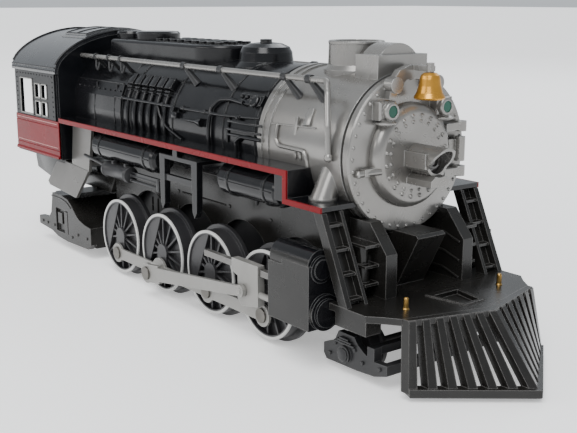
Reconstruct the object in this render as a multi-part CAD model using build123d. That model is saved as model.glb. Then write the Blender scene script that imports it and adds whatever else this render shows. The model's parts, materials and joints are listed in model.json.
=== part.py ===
from build123d import *
import os
from math import asin, cos, degrees, hypot, pi, radians, sin, sqrt

# Toy steam locomotive, 2-8-2.  Millimetres.  +X is forward, +Y the engine's left side, +Z up.
# The origin is on the floor under the middle of the engine.

# ---- driving dimensions ----
HALF_LENGTH = 193.5          # pilot tip to cab roof lip is twice this
HALF_WIDTH = 46.5            # running boards and cab
WHEEL_PITCH = 45.0
DRIVER_X = [-58.7 + WHEEL_PITCH * i for i in range(4)]
AXLE_Z = 22.3
FLANGE_R = 22.3              # the driver flanges stand on the floor
TREAD_R = 20.2
CRANK_R = 9.3
CRANK_DEG = {-1: 267.0, 1: 357.0}      # crank angle from +X towards +Z, right side (-1), left side (+1)
AXLE_R = 2.0
PIN_R = 1.6
FIT = 0.06                   # running clearance on a radius

BOILER_Z = 86.4
BOILER_R = 33.5
SHELL = 2.0                  # moulded wall
CAB_FRONT = -129.0
CAB_REAR = -190.4
SMOKEBOX_REAR = 57.0
SMOKEBOX_FRONT = 117.8
BOARD_Z = 80.5               # top of the running boards
BOARD_DROP_X = 93.9
FRONT_BOARD_Z = 68.6
DECK_Z = 30.8                # top of the pilot deck
DECK_T = 2.8

# side planes, measured outwards from the middle of the engine
FLANGE_Y = (34.8, 37.0)
RIM_Y = 44.2
SIDE_ROD_Y = (44.6, 46.0)
CROSSHEAD_Y = (47.3, 51.0)
MAIN_ROD_Y = (51.3, 53.3)
PIN_HEAD_T = 0.9
CYLINDER_Y = (39.5, 54.0)
SKIRT_Y = (22.6, 24.6)
WEB_Y = (16.5, 19.5)

PISTON_Z = 23.8
CYLINDER_REAR = 91.5
CYLINDER_FRONT = 118.7
CROSSHEAD_X = 68.8           # wrist pin with the right crank at rest
GUIDE_Z = (32.6, 35.4)

LEAD_PIVOT_X = 128.0
LEAD_AXLE_X = 125.4
LEAD_WHEEL_R = 10.0
TRAIL_PIVOT_X = -104.0
TRAIL_WHEEL_X = -134.0
TRAIL_WHEEL_R = 13.0
DRAWBAR_X = -170.0

GEAR_MODULE = 1.0
AXLE_TEETH = 24
IDLER_TEETH = 16
PINION_TEETH = 10
GEARED_AXLE = 1              # index of the driven axle


# ---- small helpers ----
def block(x, y, z):
    """Box from its low and high coordinates along each axis."""
    size = [pair[1] - pair[0] for pair in (x, y, z)]
    middle = [(pair[0] + pair[1]) / 2 for pair in (x, y, z)]
    return Pos(*middle) * Box(*size)


def rod_x(x, y, z, r):
    return Pos((x[0] + x[1]) / 2, y, z) * Rot(0, 90, 0) * Cylinder(r, x[1] - x[0])


def rod_y(x, y, z, r):
    low, high = min(y), max(y)
    return Pos(x, (low + high) / 2, z) * Rot(90, 0, 0) * Cylinder(r, high - low)


def rod_z(x, y, z, r):
    return Pos(x, y, (z[0] + z[1]) / 2) * Cylinder(r, z[1] - z[0])


def slab_y(points, y):
    """Outline of (x, z) points, thickened from y[0] to y[1]."""
    low, high = min(y), max(y)
    face = make_face(Polyline([(px, low, pz) for px, pz in points], close=True))
    return extrude(face, amount=high - low, dir=(0, 1, 0))


def slab_x(points, x):
    """Outline of (y, z) points, thickened from x[0] to x[1]."""
    face = make_face(Polyline([(x[0], py, pz) for py, pz in points], close=True))
    return extrude(face, amount=x[1] - x[0], dir=(1, 0, 0))


def slab_z(points, z):
    """Outline of (x, y) points, thickened from z[0] to z[1]."""
    face = make_face(Polyline([(px, py, z[0]) for px, py in points], close=True))
    return extrude(face, amount=z[1] - z[0], dir=(0, 0, 1))


def turned_z(profile, x=0.0, y=0.0):
    """Profile of (radius, z) points turned about the upright line through x, y."""
    face = make_face(Polyline([(r, 0, z) for r, z in profile], close=True))
    return Pos(x, y, 0) * revolve(face, Axis.Z)


def turned_x(profile, y=0.0, z=0.0):
    """Profile of (x, radius) points turned about the lengthwise line through y, z."""
    face = make_face(Polyline([(px, 0, r) for px, r in profile], close=True))
    return Pos(0, y, z) * revolve(face, Axis.X)


def strut(low, high, low_r, high_r):
    """Tapered round bar between two points."""
    run = Vector(*high) - Vector(*low)
    middle = (Vector(*high) + Vector(*low)) / 2
    return Plane(origin=middle, z_dir=run) * Cone(low_r, high_r, run.length)


def side_span(side, span):
    """A span measured outwards from the middle, as a (low, high) pair on that side."""
    return tuple(sorted((side * span[0], side * span[1])))


def mirrored(shape):
    return mirror(shape, about=Plane.XZ)


def both(shape):
    return [shape, mirrored(shape)]


def solids_of(items):
    found = []
    for item in items:
        found.extend(item.solids())
    return found


def save(name, *items):
    solids = solids_of(items)
    shape = solids[0] if len(solids) == 1 else Compound(children=solids)
    shape.label = name
    export_step(shape, os.path.join("parts", name + ".step"))


def crank(side, index):
    """Crank pin centre (x, z) of one driver at rest."""
    angle = radians(CRANK_DEG[side])
    return DRIVER_X[index] + CRANK_R * cos(angle), AXLE_Z + CRANK_R * sin(angle)


MAIN_INDEX = 1
MAIN_PIN_X, MAIN_PIN_Z = crank(-1, MAIN_INDEX)
MAIN_ROD_L = sqrt((CROSSHEAD_X - MAIN_PIN_X) ** 2 + (PISTON_Z - MAIN_PIN_Z) ** 2)


def wrist(side):
    """Wrist pin x at rest, from the main rod's length."""
    pin_x, pin_z = crank(side, MAIN_INDEX)
    return pin_x + sqrt(MAIN_ROD_L ** 2 - (PISTON_Z - pin_z) ** 2)


# ---- running gear ----
SPOKES = 14
WHEEL_WEB_Y = 41.0           # outer face of the thin disc behind the spokes
RIM_INNER_R = 18.2
HUB_R = 4.6
WEIGHT_REACH = 9.0           # the balance weight fills the rim beyond this distance from the axle
WEIGHT_TURN = 112            # degrees the weight trails the crank


def driver_wheel(side, index):
    """Spoked driver: rim, thin web, spokes, hub stretched to the crank pin, balance weight."""
    x = DRIVER_X[index]
    pin_x, pin_z = crank(side, index)
    web = WHEEL_WEB_Y
    tread = rod_y(x, side_span(side, (FLANGE_Y[1], RIM_Y)), AXLE_Z, TREAD_R)
    flange = rod_y(x, side_span(side, FLANGE_Y), AXLE_Z, FLANGE_R)
    boss = rod_y(x, side_span(side, (20.2, FLANGE_Y[0])), AXLE_Z, 5.0)
    hollow = rod_y(x, side_span(side, (web, RIM_Y + 1)), AXLE_Z, RIM_INNER_R)
    wheel = tread + flange + boss - hollow
    spokes = []
    for number in range(SPOKES):
        angle = 360.0 * (number + 0.5) / SPOKES
        arm = block((HUB_R - 0.6, RIM_INNER_R + 0.4), side_span(side, (web, 43.2)), (-0.5, 0.5))
        spokes.append(Pos(x, 0, AXLE_Z) * Rot(0, -angle, 0) * arm)
    hub_y = side_span(side, (web, RIM_Y))
    pin_boss_r = HUB_R - 0.2
    hub = rod_y(x, hub_y, AXLE_Z, HUB_R) + rod_y(pin_x, hub_y, pin_z, pin_boss_r)
    link = block((0, CRANK_R), hub_y, (-pin_boss_r, pin_boss_r))
    hub += Pos(x, 0, AXLE_Z) * Rot(0, -CRANK_DEG[side], 0) * link
    weight_disc = rod_y(x, side_span(side, (web, 43.6)), AXLE_Z, RIM_INNER_R + 0.2)
    weight_turn = Rot(0, -(CRANK_DEG[side] - WEIGHT_TURN), 0)
    weight = weight_disc & (Pos(x, 0, AXLE_Z) * weight_turn * block((WEIGHT_REACH, 30), (-60, 60), (-30, 30)))
    wheel = wheel + spokes + [hub, weight]
    wheel -= rod_y(x, side_span(side, (0, 43.0)), AXLE_Z, AXLE_R)
    wheel -= rod_y(pin_x, side_span(side, (web - 2, 60)), pin_z, PIN_R)
    return wheel


def crank_pin(side, index):
    """Pressed-in pin with a flat head outside the rod it carries."""
    pin_x, pin_z = crank(side, index)
    head_y = SIDE_ROD_Y[1] + 0.05
    if index == MAIN_INDEX:
        head_y = MAIN_ROD_Y[1] + 0.05
    pin = rod_y(pin_x, side_span(side, (39.0, head_y)), pin_z, PIN_R)
    pin += rod_y(pin_x, side_span(side, (head_y, head_y + PIN_HEAD_T)), pin_z, 3.4)
    if index == MAIN_INDEX:
        pin += rod_y(pin_x, side_span(side, (SIDE_ROD_Y[1] + 0.2, MAIN_ROD_Y[0] - 0.2)), pin_z, 2.8)
    return pin


def spur_gear(teeth, thickness, bore_r, hub=None):
    """Plain toy spur gear lying in the XZ plane, centred on the origin, with slim teeth."""
    pitch_r = GEAR_MODULE * teeth / 2
    root_r = pitch_r - 1.15 * GEAR_MODULE
    tip_r = pitch_r + 0.75 * GEAR_MODULE
    body = rod_y(0, (-thickness / 2, thickness / 2), 0, root_r)
    root_half = 0.80 * GEAR_MODULE
    tip_half = 0.28 * GEAR_MODULE
    outline = [(root_r - 0.3, -root_half), (tip_r, -tip_half), (tip_r, tip_half), (root_r - 0.3, root_half)]
    tooth = slab_y(outline, (-thickness / 2, thickness / 2))
    cogs = [Rot(0, -360.0 * number / teeth, 0) * tooth for number in range(teeth)]
    body = body + cogs
    if hub:
        body += rod_y(0, (-hub[1] / 2, hub[1] / 2), 0, hub[0])
    return body - rod_y(0, (-30, 30), 0, bore_r)


IDLER_SHIFT = 4.0
GEAR_CENTRES = GEAR_MODULE * (AXLE_TEETH + IDLER_TEETH) / 2
IDLER_X = DRIVER_X[GEARED_AXLE] + IDLER_SHIFT
IDLER_Z = AXLE_Z + sqrt(GEAR_CENTRES ** 2 - IDLER_SHIFT ** 2)
IDLER_UP_DEG = degrees(asin((IDLER_Z - AXLE_Z) / GEAR_CENTRES))
PINION_X = IDLER_X
PINION_Z = IDLER_Z + GEAR_MODULE * (IDLER_TEETH + PINION_TEETH) / 2
GEAR_T = 4.0
SHAFT_R = 1.5
PINION_SHAFT_R = 1.0


def axle_gear():
    """Gear on the driven axle, with a tooth pointing at the idler."""
    gear = spur_gear(AXLE_TEETH, GEAR_T, AXLE_R, hub=(4.0, 10.0))
    return Pos(DRIVER_X[GEARED_AXLE], 0, AXLE_Z) * Rot(0, -IDLER_UP_DEG, 0) * gear


def idler_gear():
    """Idler with a gap facing the axle gear's tooth."""
    gear = spur_gear(IDLER_TEETH, GEAR_T, SHAFT_R + FIT, hub=(3.2, 9.6))
    turn = IDLER_UP_DEG + 180 + 180.0 / IDLER_TEETH
    return Pos(IDLER_X, 0, IDLER_Z) * Rot(0, -turn, 0) * gear


def motor_pinion():
    """Pinion timed to the idler tooth nearest the top, on the motor shaft."""
    gear = spur_gear(PINION_TEETH, GEAR_T, PINION_SHAFT_R)
    idler_step = 360.0 / IDLER_TEETH
    first_tooth = IDLER_UP_DEG + 180 + idler_step / 2
    past_top = (first_tooth - 90.0) % idler_step
    pinion_step = 360.0 / PINION_TEETH
    turn = -90.0 + pinion_step / 2 - past_top * IDLER_TEETH / PINION_TEETH
    shaft = rod_y(0, (-6.6, 6.9), 0, PINION_SHAFT_R)
    place = Pos(PINION_X, 0, PINION_Z)
    return place * Rot(0, -turn, 0) * gear, place * shaft


def driver_axle(index):
    return rod_y(DRIVER_X[index], (-43.0, 43.0), AXLE_Z, AXLE_R)


def save_drivers():
    for index in range(4):
        number = str(index + 1)
        save("driver_wheels_" + number, driver_wheel(-1, index), driver_wheel(1, index))
        metal = [driver_axle(index), crank_pin(-1, index), crank_pin(1, index)]
        if index == GEARED_AXLE:
            metal.append(axle_gear())
        save("driver_axle_" + number, *metal)


def side_rod(side):
    """One bar over all four crank pins, with an eye at each."""
    y = side_span(side, SIDE_ROD_Y)
    first_x, pin_z = crank(side, 0)
    last_x = crank(side, 3)[0]
    rod = block((first_x, last_x), y, (pin_z - 2.9, pin_z + 2.9))
    eye_radii = [5.2, 6.6, 5.6, 5.2]
    for index, radius in enumerate(eye_radii):
        rod += rod_y(crank(side, index)[0], y, pin_z, radius)
    for index in range(4):
        rod -= rod_y(crank(side, index)[0], (-80, 80), pin_z, PIN_R + FIT)
    return rod


def main_rod(side):
    """Tapered rod from the main crank pin to the wrist pin, with a strap block at the big end."""
    y = side_span(side, MAIN_ROD_Y)
    pin_x, pin_z = crank(side, MAIN_INDEX)
    rise = degrees(asin((PISTON_Z - pin_z) / MAIN_ROD_L))
    length = MAIN_ROD_L
    bar = slab_y([(0, -3.6), (length, -2.3), (length, 2.3), (0, 3.6)], y)
    bar += rod_y(0, y, 0, 5.2)
    bar += rod_y(length, y, 0, 2.8)
    bar += block((3.0, 12.0), y, (-4.6, 4.6))
    bar -= rod_y(0, (-80, 80), 0, PIN_R + FIT)
    bar += rod_y(length, side_span(side, (MAIN_ROD_Y[1], MAIN_ROD_Y[1] + 0.5)), 0, 1.3)
    return Pos(pin_x, 0, pin_z) * Rot(0, -rise, 0) * bar


def crosshead(side):
    """Crosshead block that hooks over the guide bar, with its piston rod."""
    shift = wrist(side) - CROSSHEAD_X
    y = side_span(side, CROSSHEAD_Y)
    x0 = CROSSHEAD_X
    outline = [(x0 - 8.8, 37.0), (x0 + 11.0, 37.0), (x0 + 11.0, 18.6), (x0 - 1.0, 16.4),
               (x0 - 4.2, 19.0), (x0 - 4.2, 29.6), (x0 - 8.8, 31.2)]
    body = slab_y(outline, y)
    slot = block((x0 - 20, x0 + 20), side_span(side, (40, 50.3)), (GUIDE_Z[0] - 0.12, GUIDE_Z[1] + 0.12))
    body -= slot
    rod_mid = side * 49.3
    body += rod_x((x0 + 10.0, 101.0), rod_mid, PISTON_Z, 1.4)
    return Pos(shift, 0, 0) * body


def guide_bar(side):
    return block((36.0, CYLINDER_REAR), side_span(side, (47.4, 50.1)), GUIDE_Z)


def cylinder_block(side):
    """Cylinder casting: outer slab, inner body, rounded valve chest, ringed covers, piston bore."""
    outer = side_span(side, (47.6, CYLINDER_Y[1]))
    inner = side_span(side, CYLINDER_Y)
    shape = block((CYLINDER_REAR, CYLINDER_FRONT), outer, (19.0, 43.6))
    shape += block((101.0, CYLINDER_FRONT), inner, (19.0, 46.0))
    chest_z = 45.4
    chest_y = side * 47.2
    chest_front = CYLINDER_FRONT - 0.9
    shape += rod_x((CYLINDER_REAR + 1.0, chest_front), chest_y, chest_z, 6.6)
    shape -= block((CYLINDER_REAR - 2, 101.0), side_span(side, (30, 47.6)), (10, 42.6))
    barrel_y = side * 46.0
    shape += rod_x((101.0, CYLINDER_FRONT + 1.6), barrel_y, 26.0, 7.6)
    shape += rod_x((CYLINDER_FRONT, CYLINDER_FRONT + 3.0), barrel_y, 26.0, 6.0)
    shape += rod_x((chest_front, CYLINDER_FRONT + 0.4), chest_y, chest_z - 1.4, 5.6)
    shape += rod_x((chest_front, CYLINDER_FRONT + 0.9), chest_y, chest_z - 1.4, 4.2)
    shape -= rod_x((CYLINDER_REAR - 1, 114.0), side * 49.3, PISTON_Z, 1.4 + FIT)
    return shape


# ---- chassis ----
PLATE_Z = (47.0, 50.0)
SCREW_X = (-86.0, -36.2, 48.5, 90.0)


def chassis_frame():
    """Top plate and two webs with axle slots, cross walls, truck pivots and the drawbar lug."""
    plate = block((-128.0, 99.0), (-22.4, 22.4), PLATE_Z)
    plate -= block((-26.0, 18.0), (-7.4, 7.4), (40, 55))
    plate -= block((PINION_X - 11, PINION_X + 11), (0, 22.5), (40, 55))
    webs = [block((-90.0, 99.0), side_span(side, WEB_Y), (13.0, PLATE_Z[0])) for side in (-1, 1)]
    walls = [block((x - 2.6, x + 2.6), (-WEB_Y[0], WEB_Y[0]), (13.0, PLATE_Z[0])) for x in SCREW_X]
    frame = plate + webs + walls
    for x in DRIVER_X:
        frame -= rod_y(x, (-30, 30), AXLE_Z, AXLE_R + FIT)
        frame -= block((x - AXLE_R - FIT, x + AXLE_R + FIT), (-30, 30), (5, AXLE_Z))
    for x in SCREW_X:
        frame -= rod_z(x, 0, (10, 22), 1.2)
    frame += block((-128.0, -90.0), (-WEB_Y[1], WEB_Y[1]), (43.0, PLATE_Z[0]))
    frame += rod_z(TRAIL_PIVOT_X, 0, (26.5, 43.0), 5.0)
    frame += block((CAB_REAR + 6, -128.0), (-11.0, 11.0), (44.0, PLATE_Z[1]))
    frame += rod_z(DRAWBAR_X, 0, (36.0, 44.0), 5.0)
    frame += block((99.0, 134.0), (-16.0, 16.0), (24.6, 27.8))
    frame += block((96.0, 99.0), (-16.0, 16.0), (24.6, PLATE_Z[0]))
    frame += rod_z(LEAD_PIVOT_X, 0, (18.4, 24.6), 5.0)
    for x, low in ((TRAIL_PIVOT_X, 20), (DRAWBAR_X, 30), (LEAD_PIVOT_X, 10)):
        frame -= rod_z(x, 0, (low, low + 14), 1.2)
    return frame


def keeper_plate():
    """Plate under the webs that holds the axles in their slots."""
    plate = block((-90.0, 96.0), (-WEB_Y[1], WEB_Y[1]), (11.2, 13.0))
    for side in (-1, 1):
        for x in DRIVER_X:
            key = block((x - AXLE_R, x + AXLE_R), side_span(side, WEB_Y), (13.0, AXLE_Z))
            plate += key - rod_y(x, (-30, 30), AXLE_Z, AXLE_R + FIT)
    for x in SCREW_X:
        plate -= rod_z(x, 0, (5, 20), 1.3)
    gear_x = DRIVER_X[GEARED_AXLE]
    return plate - block((gear_x - 10.0, gear_x + 10.0), (-6.0, 6.0), (5, 20))


def screw(x, y, z, length=8.0):
    """Pan-head screw driven up from below, with a cross recess; z is under its head's shoulder."""
    shank = rod_z(x, y, (z, z + length), 1.2)
    head = rod_z(x, y, (z - 1.3, z), 2.4)
    mark = (z - 2.0, z - 0.7)
    recess = block((x - 1.5, x + 1.5), (y - 0.3, y + 0.3), mark)
    recess += block((x - 0.3, x + 0.3), (y - 1.5, y + 1.5), mark)
    return shank + head - recess


def screws():
    keeper = [screw(x, 0, 11.2) for x in SCREW_X]
    pivots = [screw(LEAD_PIVOT_X, 0, 15.2, 8.0), screw(TRAIL_PIVOT_X, 0, 23.2, 8.0),
              screw(DRAWBAR_X, 0, 32.4, 9.0)]
    return keeper + pivots


def side_skirt():
    """Lower wall of the body above the drivers, arched over each wheel."""
    wall = block((-99.0, 92.0), side_span(-1, SKIRT_Y), (AXLE_Z + 9.0, 64.0))
    for x in DRIVER_X:
        wall -= rod_y(x, (-40, 0), AXLE_Z, FLANGE_R + 0.5)
    return wall - seat()


# ---- boiler and smokebox ----
BOILER_BANDS = (-64.0, -20.0, 26.0, 52.0)
DOOR_HALF = 19.0             # battery door in the back wall
DOOR_TOP = 103.4
SWITCH_Z = 108.6
SWITCH_TRAVEL = 4.0
STACK_X = 84.0
STACK_R = 12.2
PIPE_FOOT = (103.7, 34.6)    # x and |y| of the steam pipes


def seat():
    """Solid of the boiler's and smokebox's outside, cut from whatever stands on them."""
    solid = rod_x((CAB_FRONT - 4, SMOKEBOX_REAR), 0, BOILER_Z, BOILER_R)
    solid += rod_x((SMOKEBOX_REAR, SMOKEBOX_FRONT), 0, BOILER_Z, BOILER_R + 0.4)
    for x in BOILER_BANDS:
        solid += rod_x((x, x + 2.0), 0, BOILER_Z, BOILER_R + 0.5)
    band = rod_x((SMOKEBOX_REAR, SMOKEBOX_REAR + 8.05), 0, BOILER_Z, BOILER_R + 1.0)
    return solid + band + firebox_wrapper()


def firebox_wrapper():
    """Wider jacket round the firebox end of the boiler, with a ledge along each shoulder."""
    right = [(-34.2, BOARD_Z), (-34.6, 88.0), (-33.9, 96.0), (-31.2, 103.4), (-30.4, 103.6), (-29.8, 103.0),
             (-28.9, 104.6), (-19.0, 115.0), (-10.0, 119.4), (0, 120.6)]
    left = [(-y, z) for y, z in reversed(right[:-1])]
    return slab_x(right + left, (CAB_FRONT, -72.0))


def boiler_shell():
    """Boiler barrel with its bands, wrapper and back wall, open below and for the battery door."""
    barrel = rod_x((CAB_FRONT, SMOKEBOX_REAR), 0, BOILER_Z, BOILER_R) + firebox_wrapper()
    for x in BOILER_BANDS:
        barrel += rod_x((x, x + 2.0), 0, BOILER_Z, BOILER_R + 0.5)
    barrel -= rod_x((CAB_FRONT + SHELL, SMOKEBOX_REAR + 1), 0, BOILER_Z, BOILER_R - SHELL)
    barrel -= block((CAB_FRONT - 1, SMOKEBOX_REAR + 1), (-22.5, 22.5), (40, 66))
    barrel -= block((CAB_FRONT - 1, CAB_FRONT + 3), (-DOOR_HALF - 0.1, DOOR_HALF + 0.1), (65, DOOR_TOP + 0.1))
    slot = ((-2.6, SWITCH_TRAVEL + 2.6), (SWITCH_Z - 1.7, SWITCH_Z + 1.7))
    return barrel - block((CAB_FRONT - 1, CAB_FRONT + 3), *slot)


def smokebox_shell():
    """Silver smokebox with two raised bands at the back and the steam pipe feet on the front board."""
    rear = SMOKEBOX_REAR + 0.05
    shell = rod_x((rear, 113.4), 0, BOILER_Z, BOILER_R + 0.4)
    shell += rod_x((rear, rear + 3.0), 0, BOILER_Z, BOILER_R + 1.0)
    shell += rod_x((rear + 6.0, rear + 8.0), 0, BOILER_Z, BOILER_R + 1.0)
    foot_x, foot_y = PIPE_FOOT
    for side in (-1, 1):
        shell += rod_z(foot_x, side * foot_y, (FRONT_BOARD_Z, FRONT_BOARD_Z + 0.9), 6.0)
        pipe = strut((foot_x, side * (foot_y + 0.6), 67.2), (foot_x, side * (foot_y - 6.4), 82.6), 5.4, 4.6)
        shell += pipe - block((foot_x - 9, foot_x + 9), (-50, 50), (60, FRONT_BOARD_Z))
    shell -= rod_x((SMOKEBOX_REAR - 1, 120), 0, BOILER_Z, BOILER_R - SHELL)
    return shell - rod_z(STACK_X, 0, (BOILER_Z, 140), STACK_R - 3.0)


LAMP_Y = 15.7
LAMP_Z = 105.5
LAMP_R = 3.9
LENS_R = 2.5
DOOR_Z = BOILER_Z - 0.6


def marker_housing(side):
    """Marker lamp: blunt body on the front plate, round mouth, and a small cup below."""
    y = side * LAMP_Y
    barrel = rod_x((117.5, 124.6), y, LAMP_Z, LAMP_R)
    barrel = fillet(barrel.edges().group_by(Axis.X)[-1], 0.9)
    body = block((117.5, 122.4), side_span(side, (LAMP_Y - LAMP_R, LAMP_Y + 5.2)),
                 (LAMP_Z - 3.6, LAMP_Z + 3.9))
    body = fillet(body.edges().group_by(Axis.X)[-1], 0.9)
    cup = turned_z([(0, LAMP_Z - 6.0), (3.0, LAMP_Z - 6.0), (4.6, LAMP_Z - 5.2), (4.6, LAMP_Z - 4.6),
                    (2.6, LAMP_Z - 3.4), (0, LAMP_Z - 3.4)], 121.0, side * (LAMP_Y + 0.7))
    return barrel + body + cup - rod_x((123.4, 126.0), y, LAMP_Z, LENS_R)


def smokebox_front():
    """Front plate with a ring of rivets and the two marker lamp housings."""
    plate = turned_x([(113.5, 0), (113.5, 32.4), (114.4, 32.4), (114.4, 33.5), (117.2, 33.5),
                      (117.8, 32.9), (117.8, 0)], z=BOILER_Z)
    count = 40
    for number in range(count):
        angle = 2 * pi * number / count
        y, z = 31.2 * cos(angle), BOILER_Z + 31.2 * sin(angle)
        plate += Pos(SMOKEBOX_FRONT, y, z) * Sphere(0.75)
    plate = plate + marker_housing(-1) + marker_housing(1)
    return plate - rod_x((112, 119), 0, DOOR_Z, 12.0)


def marker_lenses():
    return [rod_x((123.4, 124.2), side * LAMP_Y, LAMP_Z, LENS_R) for side in (-1, 1)]


HEADLIGHT_Z = 85.0
HEADLIGHT_R = 6.2
DOOR_R = 22.2
DOOR_FACE_X = 122.6
DOOR_EDGE_R = 4.2
DOOR_BOLTS = 20


def smokebox_door():
    """Round-edged door with paired bolts, dog, hinge straps and hinge barrel."""
    disc = rod_x((SMOKEBOX_FRONT + 0.1, DOOR_FACE_X), 0, DOOR_Z, DOOR_R)
    disc = fillet(disc.edges().group_by(Axis.X)[-1], DOOR_EDGE_R)
    door = disc + rod_x((112.6, DOOR_FACE_X - 1.0), 0, DOOR_Z, 12.0)
    for number in range(DOOR_BOLTS):
        angle = 2 * pi * (number + 0.5) / DOOR_BOLTS
        for radius, size in ((17.0, 0.95), (14.6, 0.8)):
            door += Pos(DOOR_FACE_X, radius * cos(angle), DOOR_Z + radius * sin(angle)) * Sphere(size)
    door += block((117.9, 121.0), (-27.0, -20.0), (79.6, 82.6))
    for z in (96.2, 76.6):
        door += block((117.9, 122.4), (18.0, 28.6), (z - 1.6, z + 1.6))
        door += rod_z(120.9, 28.0, (z - 2.2, z + 2.2), 2.6)
    door += rod_z(120.9, 28.0, (81.0, 91.6), 2.3)
    door += block((117.9, 120.4), (21.0, 28.0), (82.0, 90.6))
    door += block((122.0, 134.8), (-7.0, -4.4), (82.4, 88.8)) - rod_x((120, 140), 0, HEADLIGHT_Z, HEADLIGHT_R)
    door += slab_x([(-2.6, 79.4), (-5.2, 77.4), (-5.2, 74.8), (5.2, 74.8), (5.2, 77.4), (2.6, 79.4)],
                   (122.0, 136.8)) - rod_x((120, 140), 0, HEADLIGHT_Z, HEADLIGHT_R)
    return door - marker_housing(-1) - marker_housing(1)




def headlight_housing():
    """Hooded tube whose mouth is cut back below the visor."""
    tube = rod_x((122.6, 140.6), 0, HEADLIGHT_Z, HEADLIGHT_R)
    tube -= rod_x((131.0, 142.0), 0, HEADLIGHT_Z, HEADLIGHT_R - 1.2)
    cut = slab_y([(141.5, 70), (141.5, 91.0), (134.8, 82.4), (134.0, 70)], (-20, 20))
    return tube - cut


def headlight_lens():
    """Reflector ring with a small lamp at its middle."""
    ring = rod_x((131.0, 132.2), 0, HEADLIGHT_Z, HEADLIGHT_R - 1.25)
    ring += rod_x((132.0, 133.0), 0, HEADLIGHT_Z, 3.2) - rod_x((131.8, 134), 0, HEADLIGHT_Z, 2.2)
    return ring


BELL_X = 129.0
BELL_Z = 110.0


def bell():
    """Moulded bell, solid inside, with a flared lip."""
    lip = 6.5
    profile = [(0, BELL_Z), (lip - 0.5, BELL_Z), (lip, BELL_Z + 0.7), (lip - 1.1, BELL_Z + 2.6),
               (4.6, BELL_Z + 5.4),
               (4.2, BELL_Z + 8.2), (3.8, BELL_Z + 9.6), (2.6, BELL_Z + 10.6), (0, BELL_Z + 10.8)]
    return turned_z(profile, BELL_X)


def bell_bracket():
    """Arched yoke on the front plate, with a bearing boss at each end and the hanger over the bell."""
    arch = slab_x([(-14.6, 110.2), (-10.8, 110.2), (-9.4, 114.0), (-5.0, 117.6), (5.0, 117.6), (9.4, 114.0),
                   (10.8, 110.2), (14.6, 110.2), (13.6, 116.6), (9.0, 121.6), (3.0, 123.4), (-3.0, 123.4),
                   (-9.0, 121.6), (-13.6, 116.6)], (SMOKEBOX_FRONT + 0.02, 121.0))
    for side in (-1, 1):
        arch += rod_x((SMOKEBOX_FRONT + 0.02, 122.6), side * 11.8, 115.6, 3.3)
    arch += block((118.6, BELL_X + 1.4), (-1.4, 1.4), (121.2, 123.4))
    arch += rod_z(BELL_X, 0, (BELL_Z + 10.8, 124.6), 1.6)
    return arch - smokebox_front()


def stack():
    """Straight chimney with a flared foot on the smokebox and a shallow top recess."""
    pipe = turned_z([(0, 114.0), (STACK_R + 2.4, 114.0), (STACK_R + 2.0, 119.6), (STACK_R + 0.2, 121.6),
                     (STACK_R, 130.4), (STACK_R + 0.2, 130.7), (STACK_R + 0.2, 131.6), (STACK_R - 0.2, 132.0),
                     (STACK_R - 2.2, 132.0), (STACK_R - 2.4, 128.6), (0, 128.6)], STACK_X)
    return pipe - seat()


def feedwater_heater():
    """Box across the smokebox top with a round-backed shell on it."""
    box = block((99.4, 113.2), (-14.1, 14.1), (110.0, 127.2))
    crown = rod_x((99.4, 110.4), 0, 118.4, 13.4) & block((90, 120), (-30, 30), (127.0, 140))
    return box + crown - seat()


# ---- domes ----
HOUSING_REAR = -109.4


def dome_housing():
    """Long casing on the boiler top: square at the back, round at the front, with rows of studs."""
    half = 19.0
    straight = block((HOUSING_REAR, -half), (-half, half), (104.0, 126.6))
    nose = rod_z(-half, 0, (104.0, 126.6), half)
    casing = straight + nose
    casing = fillet(casing.edges().group_by(Axis.Z)[-1], 1.6)
    for x in [-71.0 + 7.4 * number for number in range(9)]:
        for y in (-8.5, 0, 8.5):
            casing += rod_z(x, y, (126.0, 128.0), 2.4)
    return casing - seat()


def domes():
    """Turret by the cab, round dome on the casing, and the front dome with its saddle and cap."""
    turret = turned_z([(0, 112.0), (9.2, 112.0), (9.2, 129.2), (8.4, 130.6), (0, 130.6)], HOUSING_REAR - 9.3)
    rear = turned_z([(0, 126.65), (12.8, 126.65), (12.8, 130.2), (11.6, 131.2), (0, 131.3)], -88.0)
    front = turned_z([(0, 112.0), (17.0, 112.0), (16.0, 117.4), (13.6, 119.6), (13.0, 124.0), (11.6, 126.6),
                      (8.0, 128.2), (3.0, 128.8), (3.0, 130.2), (0, 130.4)], 17.1)
    return [turret - seat(), rear, front - seat()]


# ---- cab ----
CAB_EAVE = 107.3
ROOF_RISE = 23.2
ROOF_POWER = 1.8
CAB_WALL = 2.0


def roof_point(angle, grow=0.0):
    """Point of the roof's superellipse; angle 0 is the right eave and pi the left one."""
    half, rise = HALF_WIDTH - grow, ROOF_RISE - grow
    across = abs(cos(angle)) ** (2 / ROOF_POWER)
    up = abs(sin(angle)) ** (2 / ROOF_POWER)
    return (-half * across if cos(angle) > 0 else half * across), CAB_EAVE + rise * up


def arch_face(x, grow, low):
    """Cab cross-section at x: the roof curve closed by straight walls down to low."""
    steps = 16
    points = [roof_point(pi * step / steps, grow) for step in range(steps + 1)]
    curve = Spline([(x, y, z) for y, z in points])
    left, right = points[-1][0], points[0][0]
    walls = Polyline([(x, left, CAB_EAVE), (x, left, low), (x, right, low), (x, right, CAB_EAVE)])
    return make_face(curve + walls)


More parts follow.
